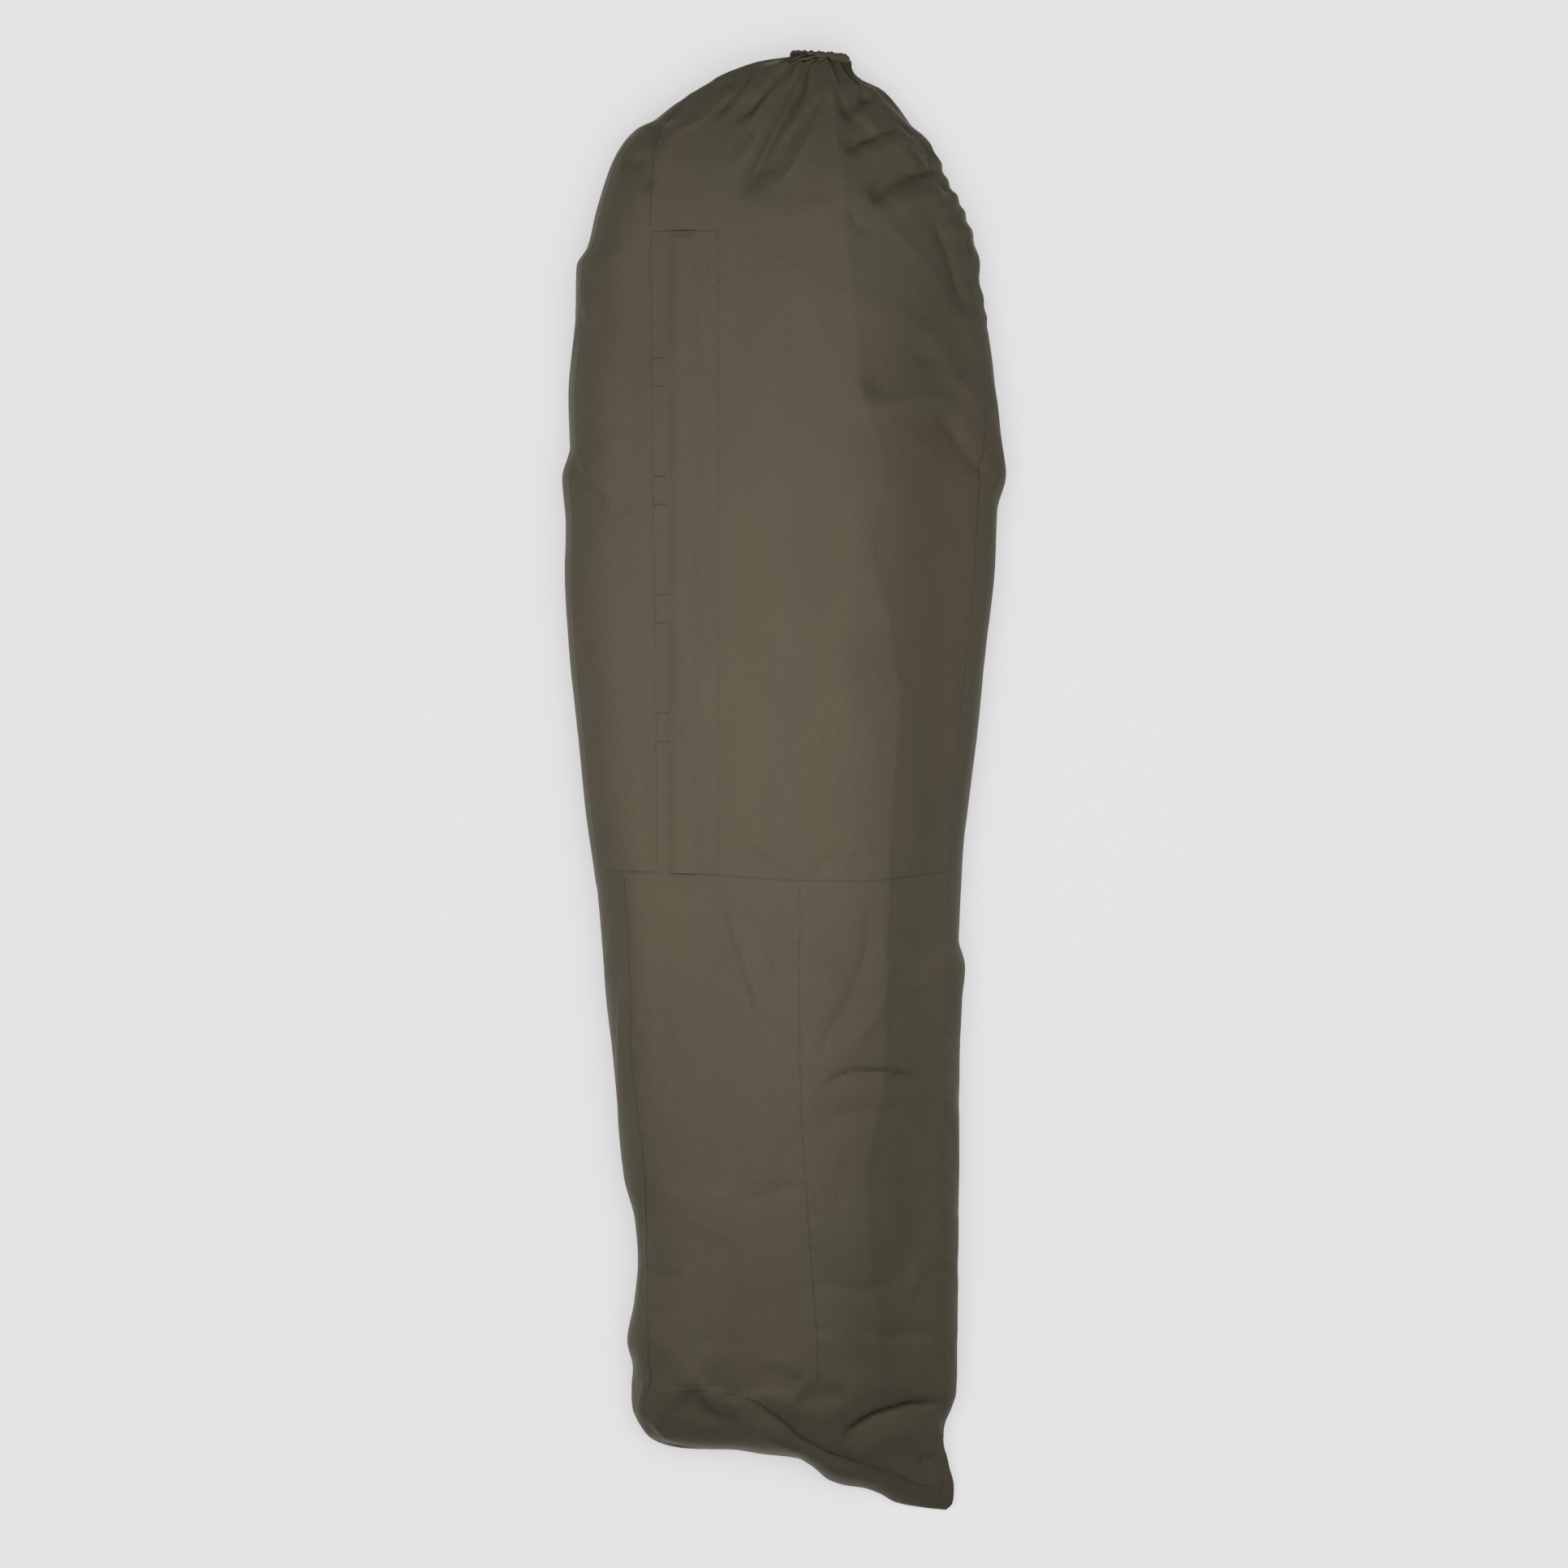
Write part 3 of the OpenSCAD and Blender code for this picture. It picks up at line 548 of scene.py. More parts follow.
class Nodes:
    """Short calls for building a material's nodes."""

    def __init__(self, name):
        self.material = bpy.data.materials.new(name)
        self.material.use_nodes = True
        self.tree = self.material.node_tree
        self.shader = self.tree.nodes["Principled BSDF"]
        self.coords = self.add("ShaderNodeTexCoord").outputs["Object"]

    def add(self, kind):
        return self.tree.nodes.new(kind)

    def link(self, output, node, name):
        self.tree.links.new(output, node.inputs[name])

    def feed(self, node, inputs):
        """Sets each numbered input of the node to a value, or links it to another node's output."""
        for index, value in inputs.items():
            if isinstance(value, bpy.types.NodeSocket):
                self.tree.links.new(value, node.inputs[index])
            else:
                node.inputs[index].default_value = value

    def mapped(self, scale):
        node = self.add("ShaderNodeMapping")
        node.inputs["Scale"].default_value = scale
        self.link(self.coords, node, "Vector")
        return node.outputs["Vector"]

    def noise(self, size, detail=3.0, rough=0.5, stretch=(1, 1, 1)):
        """Noise whose blobs are about size metres across."""
        node = self.add("ShaderNodeTexNoise")
        node.inputs["Scale"].default_value = 1.0 / size
        node.inputs["Detail"].default_value = detail
        node.inputs["Roughness"].default_value = rough
        self.link(self.mapped(stretch), node, "Vector")
        return node.outputs["Fac"]

    def ramp(self, value, stops):
        node = self.add("ShaderNodeValToRGB")
        ramp = node.color_ramp
        while len(ramp.elements) < len(stops):
            ramp.elements.new(0.5)
        for element, (place, colour) in zip(ramp.elements, stops):
            element.position = place
            element.color = colour
        self.link(value, node, "Fac")
        return node.outputs["Color"]

    def mix(self, factor, a, b, kind="MIX"):
        node = self.add("ShaderNodeMix")
        node.data_type = "RGBA"
        node.blend_type = kind
        self.feed(node, {0: factor, 6: a, 7: b})
        return node.outputs[2]

    def maths(self, operation, a, b):
        node = self.add("ShaderNodeMath")
        node.operation = operation
        self.feed(node, {0: a, 1: b})
        return node.outputs[0]

    def bump(self, height, distance, strength=1.0, under=None):
        node = self.add("ShaderNodeBump")
        node.inputs["Distance"].default_value = distance
        node.inputs["Strength"].default_value = strength
        self.link(height, node, "Height")
        if under is not None:
            self.link(under, node, "Normal")
        return node.outputs["Normal"]

    def weave(self, pitch):
        """Height of a plain weave with that thread pitch, in metres."""
        heights = []
        for direction in ("X", "Y"):
            wave = self.add("ShaderNodeTexWave")
            wave.bands_direction = direction
            wave.inputs["Scale"].default_value = 0.314 / pitch
            wave.inputs["Distortion"].default_value = 0.35
            wave.inputs["Detail"].default_value = 1.0
            self.link(self.mapped((1, 1, 1)), wave, "Vector")
            heights.append(wave.outputs["Fac"])
        return self.maths("MULTIPLY", heights[0], heights[1])


def painted_right_shade(n, share):
    """Painted shade: how much the colour is darkened at each place, share at most, in a band down the sack's
    right side where its slope turns from the light, and a little at the far left.
    """
    place = n.add("ShaderNodeSeparateXYZ")
    n.link(n.coords, place, "Vector")
    across = n.maths("ADD", place.outputs["X"], n.maths("MULTIPLY", place.outputs["Y"], -0.055))
    wavy = n.maths("ADD", across, n.maths("MULTIPLY", n.noise(0.15, 2, 0.5), 0.09))
    band = n.ramp(n.maths("ADD", wavy, 0.455), [
        (0.16, grey(0.25)), (0.3, grey(0.15)), (0.48, BLACK), (0.57, grey(0.12)),
        (0.67, grey(0.95)), (0.71, WHITE), (0.76, grey(0.25))])
    # The painted shade fades out towards the foot and the hood.
    length_share = n.maths("MULTIPLY", n.maths("ADD", place.outputs["Y"], 1.2), 1 / 2.4)
    middle = n.ramp(length_share, [(0.09, BLACK), (0.16, WHITE), (0.8, WHITE), (0.88, grey(0.1))])
    return n.maths("MULTIPLY", n.maths("MULTIPLY", band, middle), share)


def cloth_material(name, main, green, dark, roughness=0.8, sheen=0.015, crinkle=1.0, painted_shade_share=0.0):
    """Matt laminate: a fine weave over soft blotches of near colours, with painted shade darkening it down the
    right side.
    """
    n = Nodes(name)
    blotch = n.noise(0.22, 2.0, 0.5, (1, 0.35, 1))
    tone = n.noise(0.06, 3, 0.55, (1, 0.3, 1))
    colour = n.mix(n.ramp(blotch, [(0.36, BLACK), (0.66, WHITE)]), main, green)
    colour = n.mix(n.ramp(tone, [(0.35, BLACK), (0.75, grey(0.35))]), colour, dark)
    # Painted shade: the colour is pulled towards half the dark tone in a band down the right side.
    if painted_shade_share:
        painted_shade_colour = tuple(0.5 * c for c in dark[:3]) + (1,)
        colour = n.mix(painted_right_shade(n, painted_shade_share), colour, painted_shade_colour)
    thread = n.ramp(n.noise(0.0016, 2, 0.6, (1, 0.2, 1)), [(0.3, grey(0.55)), (0.7, grey(1.3))])
    colour = n.mix(0.18, colour, thread, "MULTIPLY")
    n.link(colour, n.shader, "Base Color")
    n.shader.inputs["Roughness"].default_value = roughness
    n.shader.inputs["Specular IOR Level"].default_value = 0.18
    n.shader.inputs["Sheen Weight"].default_value = sheen
    n.shader.inputs["Sheen Roughness"].default_value = 0.5
    n.shader.inputs["Sheen Tint"].default_value = green
    soft = n.bump(n.noise(0.045, 3, 0.55), 0.0022, 0.55 * crinkle)
    fine = n.bump(n.noise(0.012, 3, 0.6), 0.0005, 0.5 * crinkle, soft)
    n.link(n.bump(n.weave(0.0009), 0.00012, 0.6, fine), n.shader, "Normal")
    return n.material


OLIVE = srgb(87, 81, 68)
GREEN = srgb(86, 83, 67)
SHADE = srgb(78, 73, 62)
# The shell's colour carries painted shade down the sack's right side.
shell_cloth = cloth_material("laminate_olive", OLIVE, GREEN, SHADE, painted_shade_share=0.34)
base_cloth = cloth_material("laminate_base", srgb(74, 70, 58), srgb(71, 70, 57), srgb(62, 59, 50), 0.7)


# ---------------------------------------------------------------- panels cut from the grid
face_base = 0.25 * (base[:-1] + base[1:] + np.roll(base, -1, 1)[:-1] + np.roll(base, -1, 1)[1:])
FX, FY, FZ = face_base[..., 0], face_base[..., 1], face_base[..., 2]
column = np.arange(base.shape[1])[None, :] + np.zeros((base.shape[0] - 1, 1))
row_y = 0.5 * (rows[:-1] + rows[1:])[:, None] + np.zeros_like(column)
under = column >= COLUMNS_TOP
below_widest = FZ < lerp(under_z(row_y), top_z(row_y), WIDEST)
left_half = ~under & (column < COLUMNS_TOP / 2)
right_half = ~under & ~left_half
lower = FY < cross_seam(FX)
foot = FY < foot_seam(FX)
past_left_seam = np.where(lower, FX < left_seam(FY), FX < left_edge(row_y) + 9)
gusset_left = left_half & (below_widest | past_left_seam)
gusset_right = right_half & (below_widest | (FX > right_seam(FY)))
hood = ~lower & (FY > FLAP_TOP_Y)
slot = (~under & (FY > SLOT_ENDS[0]) & (FY < SLOT_ENDS[1]) & (FZ > 120)
        & (np.abs(FX - ZIP_X) < ZIP_SLOT / 2 + 2.5))
top = ~under & ~gusset_left & ~gusset_right & ~slot
PANELS = {
    "base_panel": under & (row_y < HOOD_TURN_Y),
    "hood_underside": under & (row_y >= HOOD_TURN_Y),
    "foot_panel": top & foot,
    "lower_gusset_left": gusset_left & lower,
    "lower_gusset_right": gusset_right & lower,
    "upper_gusset_left": gusset_left & ~lower,
    "upper_gusset_right": gusset_right & ~lower,
    "lower_front_left": top & lower & ~foot & (FX < centre_seam(FY)),
    "lower_front_right": top & lower & ~foot & (FX >= centre_seam(FY)),
    "upper_front_left": top & ~lower & ~hood & (FX < ZIP_X),
    "upper_front_right": top & ~lower & ~hood & (FX >= ZIP_X),
    "hood_left": top & hood & (FX < hood_seam(FY)),
    "hood_right": top & hood & (FX >= hood_seam(FY)),
}

ALL_FACES = grid_faces(final.shape[0], final.shape[1])
FLAT_POINTS = final.reshape(-1, 3)
FLAT_NORMALS = final_normals.reshape(-1, 3)
CLOTH = 0.8


def cut_piece(name, mask):
    """The faces of the grid under mask as a closed sheet, its thickness inside the sack."""
    chosen = ALL_FACES[mask.reshape(-1)]
    used, inverse = np.unique(chosen, return_inverse=True)
    faces = inverse.reshape(chosen.shape)
    n = len(used)
    outer = FLAT_POINTS[used]
    inner = outer - CLOTH * FLAT_NORMALS[used]
    edges = {}
    for face in faces:
        for a, b in zip(face, np.roll(face, -1)):
            key = (min(a, b), max(a, b))
            edges[key] = None if key in edges else (a, b)
    rim = [(b, a, a + n, b + n) for pair in edges.values() if pair for a, b in [pair]]
    faces_all = np.concatenate([faces, faces[:, ::-1] + n, np.array(rim, dtype=int)])
    obj = new_mesh(name, np.concatenate([outer, inner]), faces_all)
    obj.data.set_sharp_from_angle(angle=math.radians(50))
    return obj


# Each panel gets the base or the shell cloth, hides its CAD node and rides on the shell
ON_THE_GROUND = ("base_panel", "hood_underside")
for panel, mask in PANELS.items():
    piece = cut_piece("cloth_" + panel, mask)
    if panel in ON_THE_GROUND:
        cloth, slot_name, held = base_cloth, "base_fabric", "laid"
    else:
        cloth, slot_name, held = shell_cloth, "shell_fabric", "gathered" if "hood" in panel else "stretched"
    piece.data.materials.append(cloth)
    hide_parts(panel)
    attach(piece, "shell")


# ---------------------------------------------------------------- finding places on the cloth
def sample(grid, r, c):
    """Values of the grid at fractional rows and columns."""
    r = np.clip(r, 0, grid.shape[0] - 1.001)
    i, j = np.floor(r).astype(int), np.floor(c).astype(int)
    f, g = (r - i)[:, None], (c - j)[:, None]
    j, k = j % grid.shape[1], (j + 1) % grid.shape[1]
    return lerp(lerp(grid[i, j], grid[i, k], g), lerp(grid[i + 1, j], grid[i + 1, k], g), f)


def locate(xs, ys):
    """Fractional rows and columns of the points of the top that lie at (x, y), seen from above."""
    level = ys.astype(float)
    for _ in range(12):
        level = ys + slant_share(level) * slant_depth(xs)
    r = np.interp(level, rows, np.arange(len(rows)))
    c = []
    for x, row in zip(xs, r):
        i = min(int(row), len(rows) - 2)
        found = []
        for line in (base[i, :, 0], base[i + 1, :, 0]):
            first, last = int(np.argmin(line[:COLUMNS_TOP])), int(np.argmax(line[:COLUMNS_TOP]))
            found.append(np.interp(x, line[first:last + 1], np.arange(first, last + 1)))
        c.append(lerp(found[0], found[1], row - i))
    return r, np.array(c)


PATH_STEP = 5.0


class Path:
    """A line on the cloth that other things are laid along."""

    def __init__(self, xs, ys):
        xs, ys = np.asarray(xs, dtype=float), np.asarray(ys, dtype=float)
        run = distance_along(xs, ys)
        at = np.linspace(0, run[-1], max(3, int(run[-1] / PATH_STEP)))
        self.r, self.c = locate(np.interp(at, run, xs), np.interp(at, run, ys))
        self.settle()

    def settle(self):
        """Works out the line's normals, and what one millimetre across it is in rows and columns."""
        self.normals = sample(final_normals, self.r, self.c)
        along = np.gradient(sample(final, self.r, self.c), axis=0)
        along /= np.linalg.norm(along, axis=1, keepdims=True) + 1e-9
        across = np.cross(self.normals, along)
        d_row = sample(final, self.r + 0.5, self.c) - sample(final, self.r - 0.5, self.c)
        d_col = sample(final, self.r, self.c + 0.5) - sample(final, self.r, self.c - 0.5)
        rr, rc, cc = (d_row ** 2).sum(1), (d_row * d_col).sum(1), (d_col ** 2).sum(1)
        ar, ac = (across * d_row).sum(1), (across * d_col).sum(1)
        det = rr * cc - rc * rc + 1e-9
        self.row_per_mm = (ar * cc - ac * rc) / det
        self.col_per_mm = (ac * rr - ar * rc) / det

    def at(self, off, up):
        """The points off millimetres to the side and up millimetres out of the cloth."""
        r, c = self.r + off * self.row_per_mm, self.c + off * self.col_per_mm
        return sample(final, r, c) + sample(final_normals, r, c) * up


def tube_faces(length, around):
    """Faces of a closed tube of so many rings, each of so many points."""
    i, j = np.meshgrid(np.arange(length - 1), np.arange(around), indexing="ij")
    k = (j + 1) % around
    here, ahead = i * around, (i + 1) * around
    sides = np.stack([here + j, ahead + j, ahead + k, here + k], -1).reshape(-1, 4)
    last = (length - 1) * around
    return [list(f) for f in sides] + [list(range(around)), [last + n for n in reversed(range(around))]]


def strip(path, profile):
    """Points and faces of a closed strip along a path, its cross-section a list of (off, up) points."""
    lines = np.stack([path.at(off, up) for off, up in profile], axis=1)
    return lines.reshape(-1, 3), tube_faces(len(lines), len(profile))


def felled_lap(path, width, height, sink=0.6):
    """The lap of a felled seam: a strip laid on one side of a path."""
    return strip(path, [
        (0, -sink * 0.5), (0.15, height * 0.8), (0.8, height), (width * 0.6, height * 0.75),
        (width, -sink * 0.2), (width - 0.4, -sink), (0.5, -sink)])


def gathered(parts):
    """Joins (points, faces) pairs into one."""
    points, faces, start = [], [], 0
    for part_points, part_faces in parts:
        points.append(part_points)
        faces += [[v + start for v in face] for face in part_faces]
        start += len(part_points)
    return np.concatenate(points), faces


def small_bars(centres, along, normals, length, width, height):
    """A low bar with a rounded top at each centre, such as a stitch."""
    across = np.cross(normals, along)
    corners = []
    for end in (-0.5, 0.5):
        for side, up in ((-0.5, -0.4), (-0.32, 0.75), (0.32, 0.75), (0.5, -0.4)):
            out = across * (side * width) + normals * (up * height)
            corners.append(centres + along * (end * length) + out)
    points = np.stack(corners, axis=1).reshape(-1, 3)
    one = [[0, 1, 2, 3], [7, 6, 5, 4], [0, 4, 5, 1], [1, 5, 6, 2], [2, 6, 7, 3], [3, 7, 4, 0]]
    faces = [[v + 8 * k for v in face] for k in range(len(centres)) for face in one]
    return points, faces


STITCH = 3.2
STITCH_PITCH = 4.6
STITCH_WIDTH = 0.7
STITCH_HEIGHT = 0.35


def stitches(path, off, up):
    """A row of stitches off millimetres to one side of a path, and up millimetres out of the cloth."""
    line = path.at(off, up)
    run = np.concatenate(([0], np.cumsum(np.linalg.norm(np.diff(line, axis=0), axis=1))))
    at = np.arange(STITCH_PITCH / 2, run[-1], STITCH_PITCH)

    def along(values, places):
        return np.stack([np.interp(places, run, values[:, k]) for k in range(3)], axis=1)

    ahead = along(line, at + 1.0) - along(line, at - 1.0)
    ahead /= np.linalg.norm(ahead, axis=1, keepdims=True) + 1e-9
    return small_bars(along(line, at), ahead, along(path.normals, at), STITCH, STITCH_WIDTH, STITCH_HEIGHT)


def add_piece(name, part, material, body="shell", replaces=(), smooth_shaded=True, sharp=40):
    """A visual piece from (points, faces) that rides on body, if there is one, in place of CAD nodes."""
    points, faces = part
    obj = new_mesh(name, points, faces, smooth_shaded)
    if smooth_shaded:
        obj.data.set_sharp_from_angle(angle=math.radians(sharp))
    obj.data.materials.append(material)
    if replaces:
        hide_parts(*replaces)
    if body:
        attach(obj, body)
    return obj


# ---------------------------------------------------------------- seams
def line_down(seam, y0, y1):
    ys = np.linspace(y0, y1, int(abs(y1 - y0) / 12))
    return seam(ys), ys


def line_across(seam, x0, x1):
    xs = np.linspace(x0, x1, int(abs(x1 - x0) / 10))
    return xs, seam(xs)


def upper_left_seam(y):
    return left_edge(y) + 11


SEAM_PATHS = {
    "left": Path(*line_down(left_seam, -950, -146)),
    "left_upper": Path(*line_down(upper_left_seam, -128, 1010)),
    "right_lower": Path(*line_down(right_seam, -1040, -146)),
    "right_upper": Path(*line_down(right_seam, -128, 1095)),
    "centre": Path(*line_down(centre_seam, -930, -156)),
    "cross": Path(*line_across(cross_seam, -292, 272)),
    "hood": Path(*line_down(hood_seam, 866, 1120)),
    "foot": Path(*line_across(foot_seam, -58, 232)),
    "foot_left": Path(*line_across(foot_seam, -205, -58)),
}
SEAM_WIDTH = 8
SEAM_HEIGHT = 0.7


def speckled(name, size, dark, light, roughness):
    """A plain material whose colour wanders between two near ones."""
    n = Nodes(name)
    n.link(n.ramp(n.noise(size), [(0.3, dark), (0.7, light)]), n.shader, "Base Color")
    n.shader.inputs["Roughness"].default_value = roughness
    return n.material


thread = speckled("thread", 0.004, srgb(46, 43, 34), srgb(60, 56, 45), 0.65)
flap_thread = speckled("flap_thread", 0.004, srgb(62, 58, 47), srgb(76, 71, 58), 0.6)

laps = [felled_lap(path, SEAM_WIDTH, SEAM_HEIGHT) for path in SEAM_PATHS.values()]
add_piece("felled_seams", gathered(laps), shell_cloth)
# Two rows of stitches to a seam: one in the cloth beside the lap and one on it
STITCH_ROWS = ((-0.5, 0.1), (1.6, 0.75))
for piece_name, seams, colour in (
        ("seam_stitching", ("left", "right_lower", "right_upper", "cross", "foot"), thread),
        ("faint_stitching", ("centre", "hood", "left_upper"), flap_thread)):
    sewn = [stitches(SEAM_PATHS[seam], side, up) for seam in seams for side, up in STITCH_ROWS]
    add_piece(piece_name, gathered(sewn), colour, smooth_shaded=False)


def tape_inside(path, width=20, thick=0.5):
    """Sealing tape on the inner face of the cloth, along a seam."""
    half = width / 2
    near, far = -CLOTH - 0.05, -CLOTH - thick
    return strip(path, [(-half, near), (0, near), (half, near), (half, far), (0, far - 0.1), (-half, far)])


tape_paint = cloth_material(
    "sealing_tape", srgb(86, 82, 70), srgb(84, 82, 70), srgb(76, 73, 62),
    roughness=0.45, sheen=0.0, crinkle=0.3)
SEALED = {
    "left": "left_seam_tape", "right_lower": "right_seam_tape", "centre": "centre_seam_tape",
    "cross": "cross_seam_tape", "hood": "hood_seam_tape",
}
for seam, node in SEALED.items():
    add_piece("sealed_" + seam, tape_inside(SEAM_PATHS[seam]), tape_paint, replaces=(node,))


# ---------------------------------------------------------------- storm flap
flap_lo, flap_hi = cad_corners("storm_flap")
SEWN_X = cad_corners("flap_sewn_edge")[1][0]
FLAP_Y0, FLAP_Y1 = flap_lo[1], flap_hi[1]
FLAP_ARCH = 6.6
FLAP_LOW = 2.85
FLAP_CLOTH = 1.1
FLAP_END = 14
PAD_WIDTH = 20
PAD_PLACES = [88 + 184 * k for k in range(4)]
free_edge_x = through([(FLAP_Y0, -197), (85, -198), (469, -203), (FLAP_Y1, -207)])


def beside_pads(y):
    """1 where the flap is stuck down by a pad, falling to 0 between them."""
    return np.clip(sum(np.exp(-((y - pad) / 36) ** 4) for pad in PAD_PLACES), 0, 1)


def flap_lift(x, y):
    """How far the flap is above the cloth: low at both edges and its upper end, arched over the zip."""
    low = lerp(0.5, FLAP_LOW, beside_pads(y))
    left = lerp(low, FLAP_ARCH, smooth((x - flap_lo[0] - PAD_WIDTH) / 22))
    right = lerp(0.3, FLAP_ARCH, smooth((HINGE_X - x) / (HINGE_X - ZIP_X)))
    arch = np.where(x > ZIP_X, right, left)
    end = smooth((FLAP_Y1 - y) / FLAP_END)
    return np.where(x > HINGE_X, 0.15, lerp(0.4 * arch, arch, end))


def flap_top(x, y):
    """Height of the flap's upper face, with the slow waves of a strip sewn along one edge."""
    loose = smooth((HINGE_X - x) / 40)
    waves = (0.6 * np.sin(y / 21 + 2 * np.sin(y / 97)) + 0.7 * np.sin(y / 58 + 1.0)
             + 0.3 * np.sin(y / 8.7 + x / 11))
    edge = smooth((free_edge_x(y) + 12 - x) / 2.0) * 0.4
    free = loose * (waves + 0.9) * (1 - 0.85 * beside_pads(y))
    return crown(x) + flap_lift(x, y) + FLAP_CLOTH + edge + free


def open_grid_faces(n_rows, n_columns):
    i, j = np.meshgrid(np.arange(n_rows - 1), np.arange(n_columns - 1), indexing="ij")
    a = i * n_columns + j
    return np.stack([a, a + 1, a + n_columns + 1, a + n_columns], -1).reshape(-1, 4)


def thick_sheet(top, thick):
    """A closed sheet from a grid of points and the same grid moved down by thick."""
    n_rows, n_columns = top.shape[:2]
    faces = open_grid_faces(n_rows, n_columns)
    n = n_rows * n_columns
    ring = ([j for j in range(n_columns)] + [i * n_columns + n_columns - 1 for i in range(1, n_rows)]
            + [(n_rows - 1) * n_columns + j for j in range(n_columns - 2, -1, -1)]
            + [i * n_columns for i in range(n_rows - 2, 0, -1)])
    rim = [[b, a, a + n, b + n] for a, b in zip(ring, ring[1:] + ring[:1])]
    points = np.concatenate([top.reshape(-1, 3), (top - np.array([0, 0, thick])).reshape(-1, 3)])
    return points, [list(f) for f in faces] + [list(f) for f in (faces[:, ::-1] + n)] + rim


flap_ys = np.linspace(FLAP_Y0, FLAP_Y1, 240)
flap_us = np.concatenate((np.linspace(0, 0.16, 6)[:-1], np.linspace(0.16, 1, 22)))
across_flap, flap_y = np.meshgrid(flap_us, flap_ys)
flap_x = lerp(free_edge_x(flap_y), SEWN_X, across_flap) + 0.5 * np.sin(flap_y / 13) * (1 - across_flap)
flap_grid = np.stack([flap_x, flap_y, flap_top(flap_x, flap_y)], axis=-1)
flap = add_piece("storm_flap_cloth", thick_sheet(flap_grid, FLAP_CLOTH), shell_cloth,
                 body=None, replaces=("storm_flap", "flap_sewn_edge"))
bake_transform(flap)


def flap_stitches(xs, ys, pitch=STITCH_PITCH, length=STITCH, width=STITCH_WIDTH):
    """Stitches along a line on the flap."""
    run = distance_along(xs, ys)
    at = np.arange(pitch / 2, run[-1], pitch)

    def on_flap(places):
        x, y = np.interp(places, run, xs), np.interp(places, run, ys)
        return np.stack([x, y, flap_top(x, y)], 1)

    here = on_flap(at)
    x, y = here[:, 0], here[:, 1]
    along = on_flap(at + 1) - on_flap(at - 1)
    along /= np.linalg.norm(along, axis=1, keepdims=True) + 1e-9
    side = np.stack([np.ones_like(x), 0 * y, (flap_top(x + 0.5, y) - flap_top(x - 0.5, y))], 1)
    normal = np.cross(side, np.array([0, 1.0, 0]))
    normal /= np.linalg.norm(normal, axis=1, keepdims=True)
    along -= (along * normal).sum(1, keepdims=True) * normal
    along /= np.linalg.norm(along, axis=1, keepdims=True)
    return small_bars(here, along, normal, length, width, STITCH_HEIGHT)


hem_y = np.linspace(FLAP_Y0 + 4, FLAP_Y1 - 4, 160)
hem_rows = [
    flap_stitches(free_edge_x(hem_y) + 10.5, hem_y),
    flap_stitches([-196, HINGE_X - 16], [FLAP_Y1 - 6] * 2),
    flap_stitches([-188, HINGE_X - 16], [FLAP_Y0 + 6] * 2)]
tacks = []
for place in PAD_PLACES:
    edge = float(free_edge_x(place))
    low, high, near, far = place - 22, place + 22, edge + 2.5, edge + 18.5
    hem_rows.append(flap_stitches([near, far, far, near, near], [low, low, high, high, low], 3.2, 2.2))
    for y in (low, high):
        for shift, tack_width in ((0, 1.9), (0.7, 1.4)):
            tacks.append(flap_stitches([near - 1, far + 1], [y + shift] * 2, 1.15, 1.3, tack_width))
for piece_name, sewn, colour in (("flap_stitching", hem_rows, flap_thread), ("bar_tacks", tacks, thread)):
    add_piece(piece_name, gathered(sewn), colour, body="flap", smooth_shaded=False)
sewn_rows = [flap_stitches([x, x], [FLAP_Y0 + 3, FLAP_Y1 - 3]) for x in (HINGE_X + 3, SEWN_X - 2.5)]
add_piece("flap_sewing", gathered(sewn_rows), flap_thread, smooth_shaded=False)


# ---------------------------------------------------------------- hook and loop pads
PAD_LENGTH = 45
PAD_THICK = 1.1


def pad_blocks(low):
    """The four pads in a row, each with rounded corners and edges, their lower face low above the cloth."""
    parts = []
    for place in PAD_PLACES:
        near = float(free_edge_x(place)) + 1.5
        angles = np.linspace(0, 2 * math.pi, 48, endpoint=False)
        power = 0.25
        across = np.sign(np.cos(angles)) * np.abs(np.cos(angles)) ** power * 0.5
        down = np.sign(np.sin(angles)) * np.abs(np.sin(angles)) ** power * 0.5
        rings = []
        for inset, up in ((0.4, 0), (0, 0.25), (0, PAD_THICK - 0.3), (0.5, PAD_THICK)):
            x = near + 9 + across * (18 - 2 * inset)
            y = place + down * (PAD_LENGTH - 2 * inset)
            rings.append(np.stack([x, y, crown(x) + low + up], axis=1))
        parts.append((np.concatenate(rings), tube_faces(4, 48)))
    return gathered(parts)


def pile(name, dark, light, size):
    """The fuzz of hook-and-loop."""
    n = Nodes(name)
    fuzz = n.noise(size, 2, 0.7)
    n.link(n.ramp(fuzz, [(0.3, dark), (0.7, light)]), n.shader, "Base Color")
    n.shader.inputs["Roughness"].default_value = 0.95
    n.shader.inputs["Sheen Weight"].default_value = 0.4
    n.link(n.bump(fuzz, 0.0008, 1.0), n.shader, "Normal")
    return n.material


add_piece("pads_of_hooks", pad_blocks(1.65), pile("hooks", srgb(44, 42, 34), srgb(70, 66, 54), 0.0014),
          body="flap", replaces=("hook_pads",), sharp=50)
add_piece("pads_of_loops", pad_blocks(0.1), pile("loops", srgb(52, 49, 40), srgb(84, 80, 66), 0.0025),
          replaces=("loop_pads",), sharp=50)


